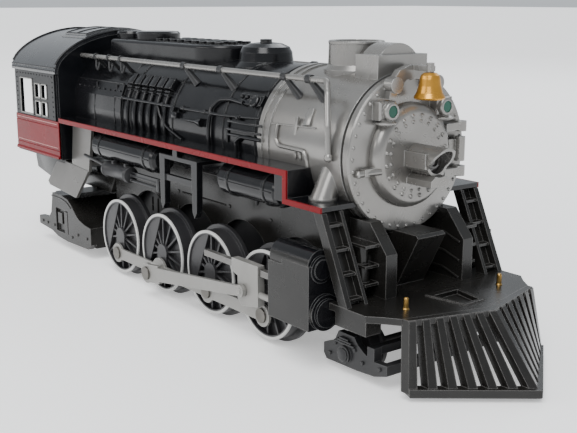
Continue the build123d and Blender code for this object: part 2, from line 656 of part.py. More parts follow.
def cab_roof():
    """Arched roof with a two-step hatch that follows its curve."""
    outer = extrude(arch_face(-HALF_LENGTH, 0, CAB_EAVE - 1.2), amount=HALF_LENGTH + CAB_FRONT, dir=(1, 0, 0))
    inner = extrude(arch_face(-HALF_LENGTH - 1, CAB_WALL, 90),
                    amount=HALF_LENGTH + CAB_FRONT + 3, dir=(1, 0, 0))
    roof = outer - inner
    under = extrude(arch_face(-200, 0.8, 90), amount=80, dir=(1, 0, 0))
    for start, end, half, rise in ((-166.0, -133.0, 24.0, 0.7), (-166.0, -137.0, 21.5, 1.4)):
        raised = extrude(arch_face(start, -rise, CAB_EAVE - 1.2), amount=end - start, dir=(1, 0, 0))
        roof += (raised & block((start, end), (-half, half), (115, 140))) - under
    return roof


def cab_shell():
    """Two side walls with windows, the front wall around the boiler, and the floor."""
    low = 55.0
    front = extrude(arch_face(CAB_FRONT - 3.0, CAB_WALL + 0.05, low), amount=3.0, dir=(1, 0, 0))
    shell = front - rod_x((-140, -120), 0, BOILER_Z, BOILER_R - SHELL - 0.5)
    for side in (-1, 1):
        y = side_span(side, (HALF_WIDTH - CAB_WALL - 0.5, HALF_WIDTH - 0.5))
        wall = block((CAB_REAR, CAB_FRONT - 3.0), y, (low, CAB_EAVE - 1.25))
        wall -= block((-182.0, -163.6), (-60, 60), (79.5, 101.2))
        for column in (-159.6, -150.2):
            for row in (79.8, 90.4):
                wall -= block((column, column + 7.6), (-60, 60), (row, row + 8.4))
        shell += wall
    half = HALF_WIDTH - CAB_WALL - 0.5
    shell += block((CAB_REAR, CAB_FRONT - 3.0), (-half, half), (low, low + 2.4))
    return shell


def cab_side_panel():
    """Painted lower side panel with a rib along its top and bottom."""
    y0 = HALF_WIDTH - 0.5
    outline = [(-y0, 56.0), (-y0 - 1.4, 56.0), (-y0 - 1.4, 57.2), (-y0 - 0.6, 58.0), (-y0 - 0.6, 60.4),
               (-y0 - 0.3, 60.8), (-y0 - 0.6, 61.2), (-y0 - 0.6, 74.4), (-y0 - 0.3, 74.8), (-y0 - 0.6, 75.2),
               (-y0 - 0.6, 78.2), (-y0, 78.2)]
    return slab_x(outline, (CAB_REAR, CAB_FRONT + 2.0))


# ---- running boards and what hangs on them ----
def running_board():
    """Right-hand board: long high part, the drop, and the low front part round the smokebox."""
    high = block((CAB_FRONT + 0.05, BOARD_DROP_X), (-45.6, -22.0), (BOARD_Z - 2.0, BOARD_Z))
    drop = block((BOARD_DROP_X - 2.0, BOARD_DROP_X), (-45.6, -22.0), (FRONT_BOARD_Z - 2.0, BOARD_Z))
    low = block((BOARD_DROP_X, 116.6), (-45.6, -22.0), (FRONT_BOARD_Z - 2.0, FRONT_BOARD_Z))
    box = block((84.0, BOARD_DROP_X - 2.0), (-45.0, -30.0), (66.6, BOARD_Z - 2.0))
    board = high + drop + low + box
    return board - seat()


def edge_stripe():
    """Stripe along the board's edge, following the drop."""
    y = side_span(-1, (45.6, 46.5))
    outline = [(CAB_FRONT + 2.05, BOARD_Z - 2.6), (BOARD_DROP_X - 2.6, BOARD_Z - 2.6),
               (BOARD_DROP_X - 2.6, FRONT_BOARD_Z - 2.4), (116.6, FRONT_BOARD_Z - 2.4),
               (116.6, FRONT_BOARD_Z),
               (BOARD_DROP_X, FRONT_BOARD_Z), (BOARD_DROP_X, BOARD_Z), (CAB_FRONT + 2.05, BOARD_Z)]
    return slab_y(outline, y)


def firebox_side():
    """Silver firebox side: upright above, flared out and swept back below."""
    upper = slab_y([(-122.0, 78.4), (-126.0, 53.0), (-104.0, 51.0), (-98.0, 78.4)], (-39.6, -37.6))
    flare = slab_x([(-39.6, 54.0), (-43.6, 32.0), (-41.6, 32.0), (-37.6, 54.0)], (-156.0, -98.0))
    outline = slab_y([(-145.0, 54.0), (-155.8, 38.6), (-152.6, 36.6),
                      (-115.0, 34.2), (-104.0, 51.4)], (-60, 0))
    stay = block((-118.0, -106.0), (-37.7, -17.6), (54.0, 56.0))
    stay += block((-118.0, -106.0), (-22.4, -17.6), (PLATE_Z[1], 56.0))
    return upper + (flare & outline) + stay


def air_tanks():
    """Right-hand tanks: the rear one under the cab end, the front one ahead of the hangers."""
    tanks = []
    for x0, x1 in ((-92.0, -22.0), (36.0, 83.6)):
        y, z, r = -36.6, 68.6, 7.4
        tank = turned_x([(x0, 0), (x0, r - 2.4), (x0 + 1.2, r - 0.6), (x0 + 3.0, r), (x1 - 3.0, r),
                         (x1 - 1.2, r - 0.6), (x1, r - 2.4), (x1, 0)], y, z)
        for x in (x0 + 9.0, x1 - 11.0):
            tank += rod_x((x, x + 1.6), y, z, r + 0.5)
        tank += block((x0 + 9.0, x0 + 10.6), (y - 1.0, y + 1.0), (z + r - 0.5, BOARD_Z - 2.0))
        tank += block((x1 - 11.0, x1 - 9.4), (y - 1.0, y + 1.0), (z + r - 0.5, BOARD_Z - 2.0))
        tanks.append(tank - seat())
    return tanks


def valve_gear_hanger():
    """Bracket frame under the board: two legs joined by a top plate and a link."""
    legs = [slab_y([(x, 72.0), (x + 5.0, 72.0), (x + 4.4, 49.0),
                    (x + 2.2, 46.0), (x + 0.6, 49.0)], (-44.0, -40.6))
            for x in (-14.0, 16.0)]
    top = block((-14.0, 21.0), (-44.0, -24.7), (72.0, 74.0))
    link = block((-10.0, 20.0), (-43.4, -41.2), (61.0, 64.0))
    reach = block((-52.0, -12.0), (-42.6, -41.0), (57.0, 59.6))
    post = block((-1.0, 3.0), (-44.0, -40.6), (74.0, BOARD_Z - 2.0))
    return top + legs + link + reach + post - seat()


RAIL_Y = -28.5
RAIL_Z = 116.7
RAIL_R = 1.3
RAIL_HOOKS = (-110.0, -94.0, -80.0)
RAIL_STRUTS = (-13.2, 19.7, 69.8, 86.8)      # where each leaning strut meets the rail
STRUT_FOOT = (6.9, 3.7, -9.1)                # from a strut's head to its foot, a little inside the boiler


def handrail():
    """Rail well off the boiler, turned down over the smokebox, on upright hooks and leaning struts."""
    foot = (107.8, -35.4, 86.6)
    path = FilletPolyline([(CAB_FRONT + 0.05, RAIL_Y, RAIL_Z), (98.2, RAIL_Y, RAIL_Z), (102.4, -31.6, 111.4),
                           (106.8, -34.9, 99.0), foot], radius=3.2)
    start = Plane(origin=path @ 0, z_dir=path % 0)
    rail = sweep(start * Circle(RAIL_R), path) + Pos(*foot) * Sphere(1.9)
    inward = degrees(asin(-RAIL_Y / sqrt(RAIL_Y ** 2 + (RAIL_Z - BOILER_Z) ** 2)))
    for x in RAIL_HOOKS:
        rail += rod_x((x - 0.7, x + 0.7), RAIL_Y, RAIL_Z, RAIL_R + 0.7)
        rail += Pos(x, RAIL_Y, RAIL_Z) * Rot(inward, 0, 0) * Pos(0, 0, -4.8) * Box(1.4, 1.8, 9.6)
    for x in RAIL_STRUTS:
        head = (x, RAIL_Y, RAIL_Z)
        below = tuple(place + shift for place, shift in zip(head, STRUT_FOOT))
        rail += rod_x((x - 1.6, x + 1.6), RAIL_Y, RAIL_Z, RAIL_R + 0.6) + strut(below, head, 2.2, 1.2)
    return rail - seat()


# ---- front end ----
def ladder():
    """Leaning ladder at the front corner: two rails, a thin back and four steps."""
    outline = [(111.6, 66.1), (116.6, 66.1), (132.9, DECK_Z), (127.8, DECK_Z)]
    shape = slab_y(outline, (-46.0, -43.4)) + slab_y(outline, (-36.4, -34.8))
    shape += slab_y([(111.6, 66.1), (112.8, 66.1), (129.0, DECK_Z), (127.8, DECK_Z)], (-43.5, -36.3))
    steps = 4
    for number in range(steps):
        t = (number + 0.6) / steps
        x, z = 113.4 + 17.0 * t, 66.6 - 37.2 * t
        shape += block((x - 2.4, x + 2.2), (-43.5, -36.3), (z - 0.8, z + 0.4))
    return shape


def pump_shield(side):
    """Upright plate with a cut front corner, three shelves and a pump barrel outside it."""
    plate = slab_y([(110.5, DECK_Z), (133.0, DECK_Z), (133.0, 49.0),
                    (122.7, 61.0), (110.5, 61.0)], (-25.5, -19.5))
    for z in (36.0, 43.6, 52.0):
        plate += block((112.5, 128.5), (-32.6, -25.4), (z, z + 1.2))
    for low, high, r in ((DECK_Z, 36.5, 2.2), (36.5, 44.0, 3.0), (44.0, 52.5, 2.4)):
        plate += rod_z(123.0, -29.4, (low, high), r)
    plate -= seat()
    if side > 0:
        plate = mirrored(plate)
    return plate


def front_deck():
    """Pilot deck with the coupler slot, the beam ends, the saddle wall and its overhanging brace."""
    rear = 122.0
    nose = [(rear, -46.0), (143.6, -46.0), (149.0, -41.0), (154.6, -37.0), (164.4, 0),
            (154.6, 37.0), (149.0, 41.0),
            (143.6, 46.0), (rear, 46.0)]
    deck = slab_z(nose, (DECK_Z - DECK_T, DECK_Z))
    for side in (-1, 1):
        deck += block((126.0, 144.0), side_span(side, (38.0, 46.0)), (22.4, DECK_Z - DECK_T))
    slot = slab_z([(139.0, -9.0), (158.0, -5.6), (158.0, 5.6), (139.0, 9.0)], (DECK_Z, DECK_Z + 0.6))
    recess = slab_z([(142.0, -7.0), (156.2, -4.2), (156.2, 4.2), (142.0, 7.0)], (DECK_Z - 1.4, DECK_Z + 9))
    deck = deck + slot - recess
    wall = slab_x([(-30.0, DECK_Z - DECK_T), (30.0, DECK_Z - DECK_T), (30.0, 66.6),
                   (-30.0, 66.6)], (104.0, 110.4))
    wall += block((104.0, rear + 0.1), (-36.3, 36.3), (DECK_Z - DECK_T, DECK_Z))
    wall += block((104.0, 110.4), (-36.3, 36.3), (DECK_Z - DECK_T, 48.0))
    brace = slab_y([(110.4, DECK_Z), (121.3, DECK_Z), (133.2, 53.4),
                    (131.8, 54.6), (110.4, 54.6)], (-8.0, 8.0))
    return deck + wall + brace - seat()


PILOT_BAR_Z = (1.6, 5.4)
PILOT_FOOT = ((HALF_LENGTH, 0.0), (162.5, 39.9))     # tip and right rear corner of the bottom edge, |y|
PILOT_HEAD = ((169.0, 0.0), (157.9, 36.6))           # the same under the deck edge
PILOT_GAPS = 6               # slots on each side
SLAT_DEPTH = 4.2


def slat_section(ends, start, width, side, z):
    """Slat outline at height z: a face lying along the edge between two points, and square-backed."""
    tip, back = (Vector(x, side * y, z) for x, y in ends)
    along = (back - tip).normalized()
    near = tip + along * start
    far = near + along * width
    rearwards = Vector(-SLAT_DEPTH, 0, 0)
    return make_face(Polyline([near, far, far + rearwards, near + rearwards], close=True))


def pilot():
    """Slatted pilot: flat-faced slats run from the deck edge to a rounded bar, wider apart below."""
    tip, corner = PILOT_FOOT
    outline = [tip, corner, (corner[0] - 4.2, corner[1] - 1.6), (tip[0] - 5.6, 0)]
    outline += [(x, -y) for x, y in reversed(outline[1:3])]
    bar = slab_z(outline, PILOT_BAR_Z)
    shape = fillet(bar.edges().group_by(Axis.Z)[0], 1.1)
    foot_inset, foot_width, head_width = 0.5, 3.5, 3.1
    foot_ends = [(x - foot_inset, y) for x, y in PILOT_FOOT]
    foot_pitch = (hypot(tip[0] - corner[0], corner[1]) - foot_width) / PILOT_GAPS
    head_run = hypot(PILOT_HEAD[0][0] - PILOT_HEAD[1][0], PILOT_HEAD[1][1])
    head_pitch = (head_run - head_width) / PILOT_GAPS
    for side in (-1, 1):
        brow = [(x - 0.5, side * y) for x, y in PILOT_HEAD]
        shape += slab_z([brow[0], brow[1], (brow[1][0] - 2.8, brow[1][1]),
                         (brow[0][0] - 4.0, 0)], (28.4, DECK_Z))
        for number in range(PILOT_GAPS + 1):
            low = slat_section(foot_ends, number * foot_pitch, foot_width, side, PILOT_BAR_Z[0] + 1.6)
            high = slat_section(PILOT_HEAD, number * head_pitch, head_width, side, DECK_Z - 0.3)
            shape += loft([low, high], ruled=True)
    return shape - front_deck()


def pilot_posts():
    return [turned_z([(0, DECK_Z), (1.5, DECK_Z), (1.1, DECK_Z + 0.8), (1.1, 35.2), (0.7, 35.8), (0, 35.8)],
                     146.8, side * 27.5) for side in (-1, 1)]


# ---- trucks and drawbar ----
def wheelset(x, z, tread, gauge_y, axle_half):
    """Two small flanged wheels on one axle."""
    parts = rod_y(x, (-axle_half, axle_half), z, 1.5)
    for side in (-1, 1):
        parts += rod_y(x, side_span(side, (gauge_y, gauge_y + 1.8)), z, z)
        parts += rod_y(x, side_span(side, (gauge_y + 1.7, gauge_y + 7.0)), z, tread)
    return parts


def lead_truck():
    """Pony truck frame: two side plates with journals and a cross bar on the pivot."""
    outline = [(111.8, 5.6), (113.6, 3.2), (133.0, 3.6), (143.0, 4.4), (150.0, 6.6),
               (150.0, 10.8), (142.6, 10.4),
               (137.0, 12.0), (132.6, 14.8), (130.6, 17.4), (121.0, 17.4), (118.6, 12.6), (111.8, 10.0)]
    frame = slab_y(outline, (-40.0, -37.0)) + slab_y(outline, (37.0, 40.0))
    for side in (-1, 1):
        frame += rod_y(LEAD_AXLE_X, side_span(side, (39.8, 41.4)), 8.6, 3.6)
        frame -= rod_y(LEAD_AXLE_X, side_span(side, (36.5, 38.6)), LEAD_WHEEL_R, 1.5 + FIT)
    bar = block((146.6, 150.0), (-37.0, 37.0), (6.6, 10.6))
    cross = block((138.6, 142.0), (-37.0, 37.0), (12.4, 15.8))
    cross += block((138.6, 146.6), (-4.0, 4.0), (6.8, 15.8))
    ends = block((138.6, 142.6), (-40.0, -36.0), (9.0, 15.8))
    ends += block((138.6, 142.6), (36.0, 40.0), (9.0, 15.8))
    pad = rod_z(LEAD_PIVOT_X, 0, (15.2, 18.2), 8.0)
    pad += block((LEAD_PIVOT_X, 142.0), (-4.0, 4.0), (13.0, 15.8))
    frame += bar + cross + ends + pad
    frame -= rod_z(LEAD_PIVOT_X, 0, (10, 15.2), 2.7)
    return frame - rod_z(LEAD_PIVOT_X, 0, (12, 20), 1.2 + FIT)


def trailing_truck():
    """Trailing truck frame: curved side plates with journal pockets under one cover, and a pivot arm."""
    outline = [(-168.4, 9.4), (-150.0, 8.2), (-141.0, 5.8), (-128.0, 5.0), (-100.0, 5.8), (-96.0, 9.0),
               (-96.0, 19.0), (-104.0, 19.8), (-111.0, 21.4), (-116.0, 24.4), (-121.0, 28.6), (-126.0, 31.4),
               (-134.0, 32.6), (-147.0, 32.6), (-150.0, 20.0), (-154.0, 15.6), (-168.4, 14.6)]
    plate = slab_y(outline, (-44.0, -40.4))
    plate -= block((-143.0, -126.0), (-45.0, -42.4), (9.6, 24.0))
    plate += block((-140.6, -134.8), (-43.8, -42.2), (14.6, 21.4))
    plate += block((-131.6, -127.6), (-43.8, -42.2), (9.6, 23))
    plate -= rod_y(TRAIL_WHEEL_X, (-42.0, -38.0), TRAIL_WHEEL_R, 1.5 + FIT)
    frame = plate + mirrored(plate)
    cover = [(-147.0, 32.6), (-134.0, 32.6), (-126.0, 31.4), (-121.0, 28.6), (-116.0, 24.4), (-111.0, 21.4),
             (-104.0, 19.8), (-96.0, 19.0), (-96.0, 16.6), (-104.6, 17.4), (-112.0, 19.0), (-117.4, 22.2),
             (-122.4, 26.4), (-127.0, 29.2), (-134.0, 30.2), (-147.0, 30.2)]
    frame += slab_y(cover, (-40.5, 40.5))
    frame += block((-99.6, -96.0), (-40.5, 40.5), (6.6, 17.0))
    frame += block((-150.0, -147.0), (-40.5, 40.5), (20.0, 32.6))
    frame += rod_z(TRAIL_PIVOT_X, 0, (23.2, 26.3), 7.0)
    frame += block((TRAIL_PIVOT_X, -96.0), (-5.0, 5.0), (17.0, 26.3))
    frame -= rod_z(TRAIL_PIVOT_X, 0, (10, 23.2), 2.7)
    return frame - rod_z(TRAIL_PIVOT_X, 0, (10, 30), 1.2 + FIT)


def drawbar():
    """Link to the tender: flat bar with an eye at each end."""
    bar = block((-184.0, DRAWBAR_X), (-3.4, 3.4), (32.4, 35.8))
    bar += rod_z(DRAWBAR_X, 0, (32.4, 35.8), 5.0) + rod_z(-185.5, 0, (32.4, 35.8), 5.0)
    bar -= rod_z(DRAWBAR_X, 0, (30, 40), 1.2 + FIT)
    return bar - rod_z(-185.5, 0, (30, 40), 2.6)


# ---- drive and battery ----
def motor():
    """Small can motor, its flat sides up and down, with end cap and two terminals."""
    can = rod_y(PINION_X, (7.0, 21.0), PINION_Z, 10.0)
    can &= block((-40, 40), (0, 40), (PINION_Z - 7.5, PINION_Z + 7.5))
    cap = rod_y(PINION_X, (21.0, 22.3), PINION_Z, 5.0)
    pins = [block((PINION_X + dx - 0.3, PINION_X + dx + 0.3), (21.0, 22.3), (PINION_Z - 1.5, PINION_Z + 1.5))
            for dx in (-7.0, 7.0)]
    return can + cap + pins - rod_y(PINION_X, (0, 8.0), PINION_Z, PINION_SHAFT_R + FIT)


def gearbox_case():
    """Two side plates with the idler's stub shaft, bridged over the pinion, on feet."""
    case = None
    for y in ((-7.0, -5.2), (5.2, 6.9)):
        plate = block((-24.0, 16.0), y, (34.0, 64.4))
        plate -= rod_y(PINION_X, (-10, 10), PINION_Z, PINION_SHAFT_R + FIT)
        case = plate if case is None else case + plate
    case += block((-24.0, 16.0), (-7.0, 6.9), (62.6, 64.4))
    case += rod_y(IDLER_X, (-7.0, 6.9), IDLER_Z, SHAFT_R)
    case += block((-24.0, 16.0), (-14.0, -7.0), (PLATE_Z[1], PLATE_Z[1] + 2.0))
    return case


BATTERY_X = (-126.0, -70.0)
CELL_R = 7.1


def battery_box():
    """Open-backed box for four cells, two high and two wide, on the chassis plate."""
    box = block(BATTERY_X, (-17.0, 17.0), (67.0, 101.0))
    box -= block((BATTERY_X[0] - 1, BATTERY_X[1] - 2.0), (-15.2, 15.2), (68.8, 99.2))
    legs = [block((x, x + 6.0), side_span(side, (12.0, 17.0)), (PLATE_Z[1], 67.0)) for x in (-120.0, -84.0)
            for side in (-1, 1)]
    return box + legs


def battery_cells():
    """Four cylindrical cells, each 14.2 across and 50 long with its button."""
    cells = []
    for y in (-7.5, 7.5):
        for z in (76.4, 91.6):
            cells.append(rod_x((-123.0, -74.2), y, z, CELL_R) + rod_x((-74.4, -72.9), y, z, 2.6))
    return cells


def battery_door():
    """Cover over the battery box in the boiler's back wall, with finger ridges."""
    door = block((CAB_FRONT, CAB_FRONT + 1.9), (-DOOR_HALF, DOOR_HALF), (66.1, DOOR_TOP))
    door += block((CAB_FRONT + 1.8, CAB_FRONT + 3.0), (-14.8, 14.8), (69.2, 98.8))
    for z in (96.0, 98.0, 100.0):
        door += block((CAB_FRONT - 0.8, CAB_FRONT + 0.1), (-6.0, 6.0), (z, z + 0.8))
    return door


def power_switch():
    """Slide switch: knob through the slot in the back wall, and its plate inside."""
    knob = block((CAB_FRONT - 3.0, CAB_FRONT + 2.2), (-2.4, 2.4), (SWITCH_Z - 1.5, SWITCH_Z + 1.5))
    return knob + block((CAB_FRONT + 2.1, CAB_FRONT + 3.2), (-5.0, 5.0), (SWITCH_Z - 2.5, SWITCH_Z + 2.5))


# ---- write every sub-part ----
os.makedirs("parts", exist_ok=True)

save("chassis_frame", chassis_frame())
save("keeper_plate", keeper_plate())
save("chassis_screws", *screws())
save("side_skirts", *both(side_skirt()))
save("boiler_shell", boiler_shell())
save("smokebox_shell", smokebox_shell())
save("smokebox_front", smokebox_front())
save("smokebox_door", smokebox_door())
save("headlight_housing", headlight_housing())
save("headlight_lens", headlight_lens())
save("marker_lenses", *marker_lenses())
save("bell", bell())
save("bell_bracket", bell_bracket())
save("stack", stack())
save("feedwater_heater", feedwater_heater())
save("dome_housing", dome_housing())
save("domes", *domes())
save("cab_shell", cab_shell())
save("cab_roof", cab_roof())
save("cab_side_panels", *both(cab_side_panel()))
save("running_boards", *both(running_board()))
save("edge_stripes", *both(edge_stripe()))
save("firebox_sides", *both(firebox_side()))
right_tanks = air_tanks()
save("air_tanks", *right_tanks, *[mirrored(tank) for tank in right_tanks])
save("valve_gear_hangers", *both(valve_gear_hanger()))
save("handrails", *both(handrail()))
save("cylinder_blocks", cylinder_block(-1), cylinder_block(1))
save("guide_bars", guide_bar(-1), guide_bar(1))
save("ladders", *both(ladder()))
save("pump_shields", pump_shield(-1), pump_shield(1))
save("front_deck", front_deck())
save("pilot", pilot())
save("pilot_posts", *pilot_posts())
save("motor", motor())
save("gearbox_case", gearbox_case())
save("battery_box", battery_box())
save("battery_cells", *battery_cells())
save("battery_door", battery_door())

save_drivers()
for side, word in ((-1, "right"), (1, "left")):
    save("side_rod_" + word, side_rod(side))
    save("main_rod_" + word, main_rod(side))
    save("crosshead_" + word, crosshead(side))
save("idler_gear", idler_gear())
save("motor_pinion", *motor_pinion())
save("lead_truck_frame", lead_truck())
save("lead_wheelset", wheelset(LEAD_AXLE_X, LEAD_WHEEL_R, LEAD_WHEEL_R - 1.6, 26.0, 38.4))
save("trailing_truck_frame", trailing_truck())
save("trailing_wheelset", wheelset(TRAIL_WHEEL_X, TRAIL_WHEEL_R, TRAIL_WHEEL_R - 1.8, 30.0, 41.8))
save("drawbar", drawbar())
save("power_switch", power_switch())
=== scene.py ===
import json
import math

import bmesh
import bpy
from mathutils import Matrix, Vector


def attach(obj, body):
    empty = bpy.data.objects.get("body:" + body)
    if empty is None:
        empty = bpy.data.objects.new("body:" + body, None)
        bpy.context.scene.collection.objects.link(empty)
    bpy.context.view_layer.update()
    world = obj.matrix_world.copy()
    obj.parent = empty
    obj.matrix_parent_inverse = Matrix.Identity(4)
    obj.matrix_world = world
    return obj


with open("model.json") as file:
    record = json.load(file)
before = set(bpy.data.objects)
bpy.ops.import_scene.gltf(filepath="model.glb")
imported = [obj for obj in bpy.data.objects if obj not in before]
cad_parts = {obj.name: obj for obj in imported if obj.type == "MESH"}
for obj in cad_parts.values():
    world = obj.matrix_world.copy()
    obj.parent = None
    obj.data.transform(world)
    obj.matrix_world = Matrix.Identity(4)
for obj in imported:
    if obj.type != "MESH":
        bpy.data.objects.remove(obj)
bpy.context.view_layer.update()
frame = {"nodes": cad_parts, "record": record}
nodes = frame["nodes"]

MM = 0.001

# ---- driving dimensions, in millimetres, as in the CAD model ----
BOILER_Z = 86.4
BOILER_R = 33.5
SMOKEBOX_R = 33.9
BOARD_Z = 80.5
DRIVER_X = [-58.7 + 45.0 * index for index in range(4)]
AXLE_Z = 22.3
RAIL = (28.5, 116.7)                        # |y| and z of the handrails
CAB_Y = 46.0                                # outer face of the cab's side walls
CAB_WALL_X = -130.6                         # rear face of the cab's front wall
SKIRT_Y = -24.6                             # outer face of the right skirt
SHIELD_Y = -19.5                            # inner face of the right pump shield
TANK_Y, TANK_Z = -36.6, 68.6                # axis of the right air tanks
TANK_ENDS = ((-92.0, -22.0), (36.0, 83.6))
LEAD_PLATE_Y = -40.0                        # outer faces of the trucks' right plates
TRAILING_PLATE_Y = -44.0
LEAD_AXLE_X = 125.4
ROOF_HALF, ROOF_EAVE_Z, ROOF_RISE, ROOF_POWER = 46.5, 107.3, 23.2, 1.8
ROOF_ENDS = (-193.0, -129.6)
HATCH_ENDS = (-165.4, -137.6)
HATCH_HALF, HATCH_RISE = 20.6, 1.4

# ---- look, in millimetres ----
LIGHT_RING_R, LIGHT_RING_Y = 18.9, 43.4     # where a driver's light ring starts
GROOVE_X = 114.45                           # the smokebox front gets painted shade behind this
RAIL_STRUT_X, RAIL_SKIN = 97.0, 1.45        # struts lie behind this, outside the rail's skin
CYLINDER_SIDE_Y = 53.0


# ---- node material helpers ----
class Tree:
    """Short way to build a node material."""

    def __init__(self, name):
        self.mat = bpy.data.materials.new(name)
        self.mat.use_nodes = True
        self.nodes = self.mat.node_tree.nodes
        self.links = self.mat.node_tree.links
        self.shader = self.nodes["Principled BSDF"]
        self.coord = self.nodes.new("ShaderNodeTexCoord").outputs["Object"]

    def set(self, **values):
        for key, value in values.items():
            self.shader.inputs[key.replace("_", " ")].default_value = value
        return self

    def link(self, source, target):
        self.links.new(source, target)

    def feed(self, source, name):
        self.links.new(source, self.shader.inputs[name])

    def noise(self, scale, detail=4.0, rough=0.55, vector=None, distortion=0.0):
        node = self.nodes.new("ShaderNodeTexNoise")
        node.inputs["Scale"].default_value = scale
        node.inputs["Detail"].default_value = detail
        node.inputs["Roughness"].default_value = rough
        node.inputs["Distortion"].default_value = distortion
        self.link(vector or self.coord, node.inputs["Vector"])
        return node.outputs["Fac"]

    def ramp(self, source, low, high, start=0.3, end=0.7):
        """Maps a 0..1 value to a colour or grey between low and high."""
        node = self.nodes.new("ShaderNodeValToRGB")
        node.color_ramp.elements[0].position = start
        node.color_ramp.elements[1].position = end
        for element, value in zip(node.color_ramp.elements, (low, high)):
            if isinstance(value, (int, float)):
                value = (value, value, value)
            element.color = (*value[:3], 1)
        self.link(source, node.inputs["Fac"])
        return node.outputs["Color"]

    def mix(self, factor, a, b, blend="MIX"):
        node = self.nodes.new("ShaderNodeMix")
        node.data_type = "RGBA"
        node.blend_type = blend
        for value, socket in ((factor, node.inputs[0]), (a, node.inputs[6]), (b, node.inputs[7])):
            if isinstance(value, bpy.types.NodeSocket):
                self.link(value, socket)
            elif isinstance(value, (int, float)):
                socket.default_value = value
            else:
                socket.default_value = (*value[:3], 1)
        return node.outputs[2]

    def math(self, operation, a, b=0.0, c=0.0):
        node = self.nodes.new("ShaderNodeMath")
        node.operation = operation
        for value, socket in zip((a, b, c), node.inputs):
            if isinstance(value, bpy.types.NodeSocket):
                self.link(value, socket)
            else:
                socket.default_value = value
        return node.outputs[0]

    def bump(self, height, strength, distance, edge=0.0):
        """Bump from a height, over a rounded-edge normal where edge is a radius in metres."""
        node = self.nodes.new("ShaderNodeBump")
        node.inputs["Strength"].default_value = strength
        node.inputs["Distance"].default_value = distance
        self.link(height, node.inputs["Height"])
        if edge:
            bevel = self.nodes.new("ShaderNodeBevel")
            bevel.samples = 4
            bevel.inputs["Radius"].default_value = edge
            self.link(bevel.outputs["Normal"], node.inputs["Normal"])
        self.feed(node.outputs["Normal"], "Normal")

    def edges(self, radius):
        """0 on flat surfaces and more than 0 near sharp edges."""
        bevel = self.nodes.new("ShaderNodeBevel")
        bevel.samples = 4
        bevel.inputs["Radius"].default_value = radius
        geometry = self.nodes.new("ShaderNodeNewGeometry")
        dot = self.nodes.new("ShaderNodeVectorMath")
        dot.operation = "DOT_PRODUCT"
        self.link(bevel.outputs["Normal"], dot.inputs[0])
        self.link(geometry.outputs["Normal"], dot.inputs[1])
        return self.math("SUBTRACT", 1.0, dot.outputs["Value"])


def plastic(name, low, high, rough=(0.2, 0.35), edge=0.00035, grain=900.0, edge_wear_and_highlight=None, metallic=0.0,
            grain_depth=0.00002, coat=0.0, mottle=55.0, specular=0.5):
    """Moulded plastic: blotchy colour, uneven gloss, fine moulding grain, rounded edges painted lighter,
    partly as rubbed wear and partly as painted highlight.
    """
    tree = Tree(name)
    blotch = tree.noise(mottle, 5.0, 0.6)
    colour = tree.ramp(blotch, low, high)
    if edge_wear_and_highlight:
        # edges painted lighter: partly rubbed wear, partly a painted highlight along the rounded edges
        rubbed_and_highlit_edges = tree.math("MULTIPLY", tree.edges(0.0006), tree.noise(420.0, 3.0))
        colour = tree.mix(tree.math("MULTIPLY", rubbed_and_highlit_edges, 6.0), colour, edge_wear_and_highlight)
    tree.feed(colour, "Base Color")
    smear = tree.noise(28.0, 6.0, 0.65, distortion=0.4)
    tree.feed(tree.ramp(smear, rough[0], rough[1]), "Roughness")
    tree.set(Metallic=metallic, Coat_Weight=coat, Coat_Roughness=0.08, Specular_IOR_Level=specular)
    tree.bump(tree.noise(grain, 3.0, 0.6), 0.5, grain_depth, edge)
    return tree.mat


# the lighter edge colour given to a plastic stands for rubbed wear plus a painted edge highlight
MATERIALS = {
    "black_plastic": plastic("gloss_black", (0.0030, 0.0032, 0.0042), (0.0075, 0.0075, 0.0085), (0.10, 0.26),
                             edge_wear_and_highlight=(0.08, 0.08, 0.08), grain=600.0, specular=0.34),
    "dark_plastic": plastic("satin_black", (0.011, 0.011, 0.012), (0.020, 0.020, 0.021), (0.32, 0.46),
                            edge_wear_and_highlight=(0.09, 0.09, 0.09), specular=0.35),
    "silver_plastic": plastic("silver_paint", (0.200, 0.191, 0.179), (0.270, 0.264, 0.253), (0.20, 0.32),
                              metallic=0.68, grain=2600.0, grain_depth=0.000012, edge_wear_and_highlight=(0.40, 0.40, 0.39),
                              mottle=18.0),
    "red_plastic": plastic("gloss_red", (0.125, 0.0006, 0.0028), (0.165, 0.0010, 0.0042), (0.20, 0.32),
                           specular=0.16),
    "wheel_plastic": plastic("wheel_grey", (0.026, 0.025, 0.027), (0.046, 0.044, 0.044), (0.36, 0.46),
                             specular=0.35),
    "gold_paint": plastic("gold_paint", (0.44, 0.20, 0.022), (0.58, 0.29, 0.045), (0.22, 0.34), metallic=0.8,
                          grain=2200.0, grain_depth=0.00001),
    "green_lens": plastic("green_lens", (0.0, 0.050, 0.030), (0.0, 0.080, 0.050), (0.06, 0.12), coat=0.3,
                          specular=0.2),
    "lamp_plastic": plastic("lamp_dark", (0.02, 0.017, 0.016), (0.05, 0.042, 0.04), (0.12, 0.25), coat=0.5),
    "steel": plastic("plated_steel", (0.10, 0.095, 0.085), (0.20, 0.19, 0.175), (0.30, 0.44), metallic=0.9),
    "brass": plastic("brass_post", (0.30, 0.18, 0.05), (0.40, 0.25, 0.08), (0.28, 0.4), metallic=1.0),
    "gear_plastic": plastic("nylon", (0.66, 0.65, 0.60), (0.74, 0.73, 0.69), (0.4, 0.5)),
    "cell_wrap": plastic("cell_wrap", (0.02, 0.05, 0.09), (0.03, 0.07, 0.12), (0.25, 0.35), coat=0.3),
}
LIGHT_GREY = plastic("rod_grey", (0.205, 0.20, 0.188), (0.265, 0.26, 0.247), (0.30, 0.42), metallic=0.3,
                     edge_wear_and_highlight=(0.40, 0.40, 0.38), mottle=30.0)
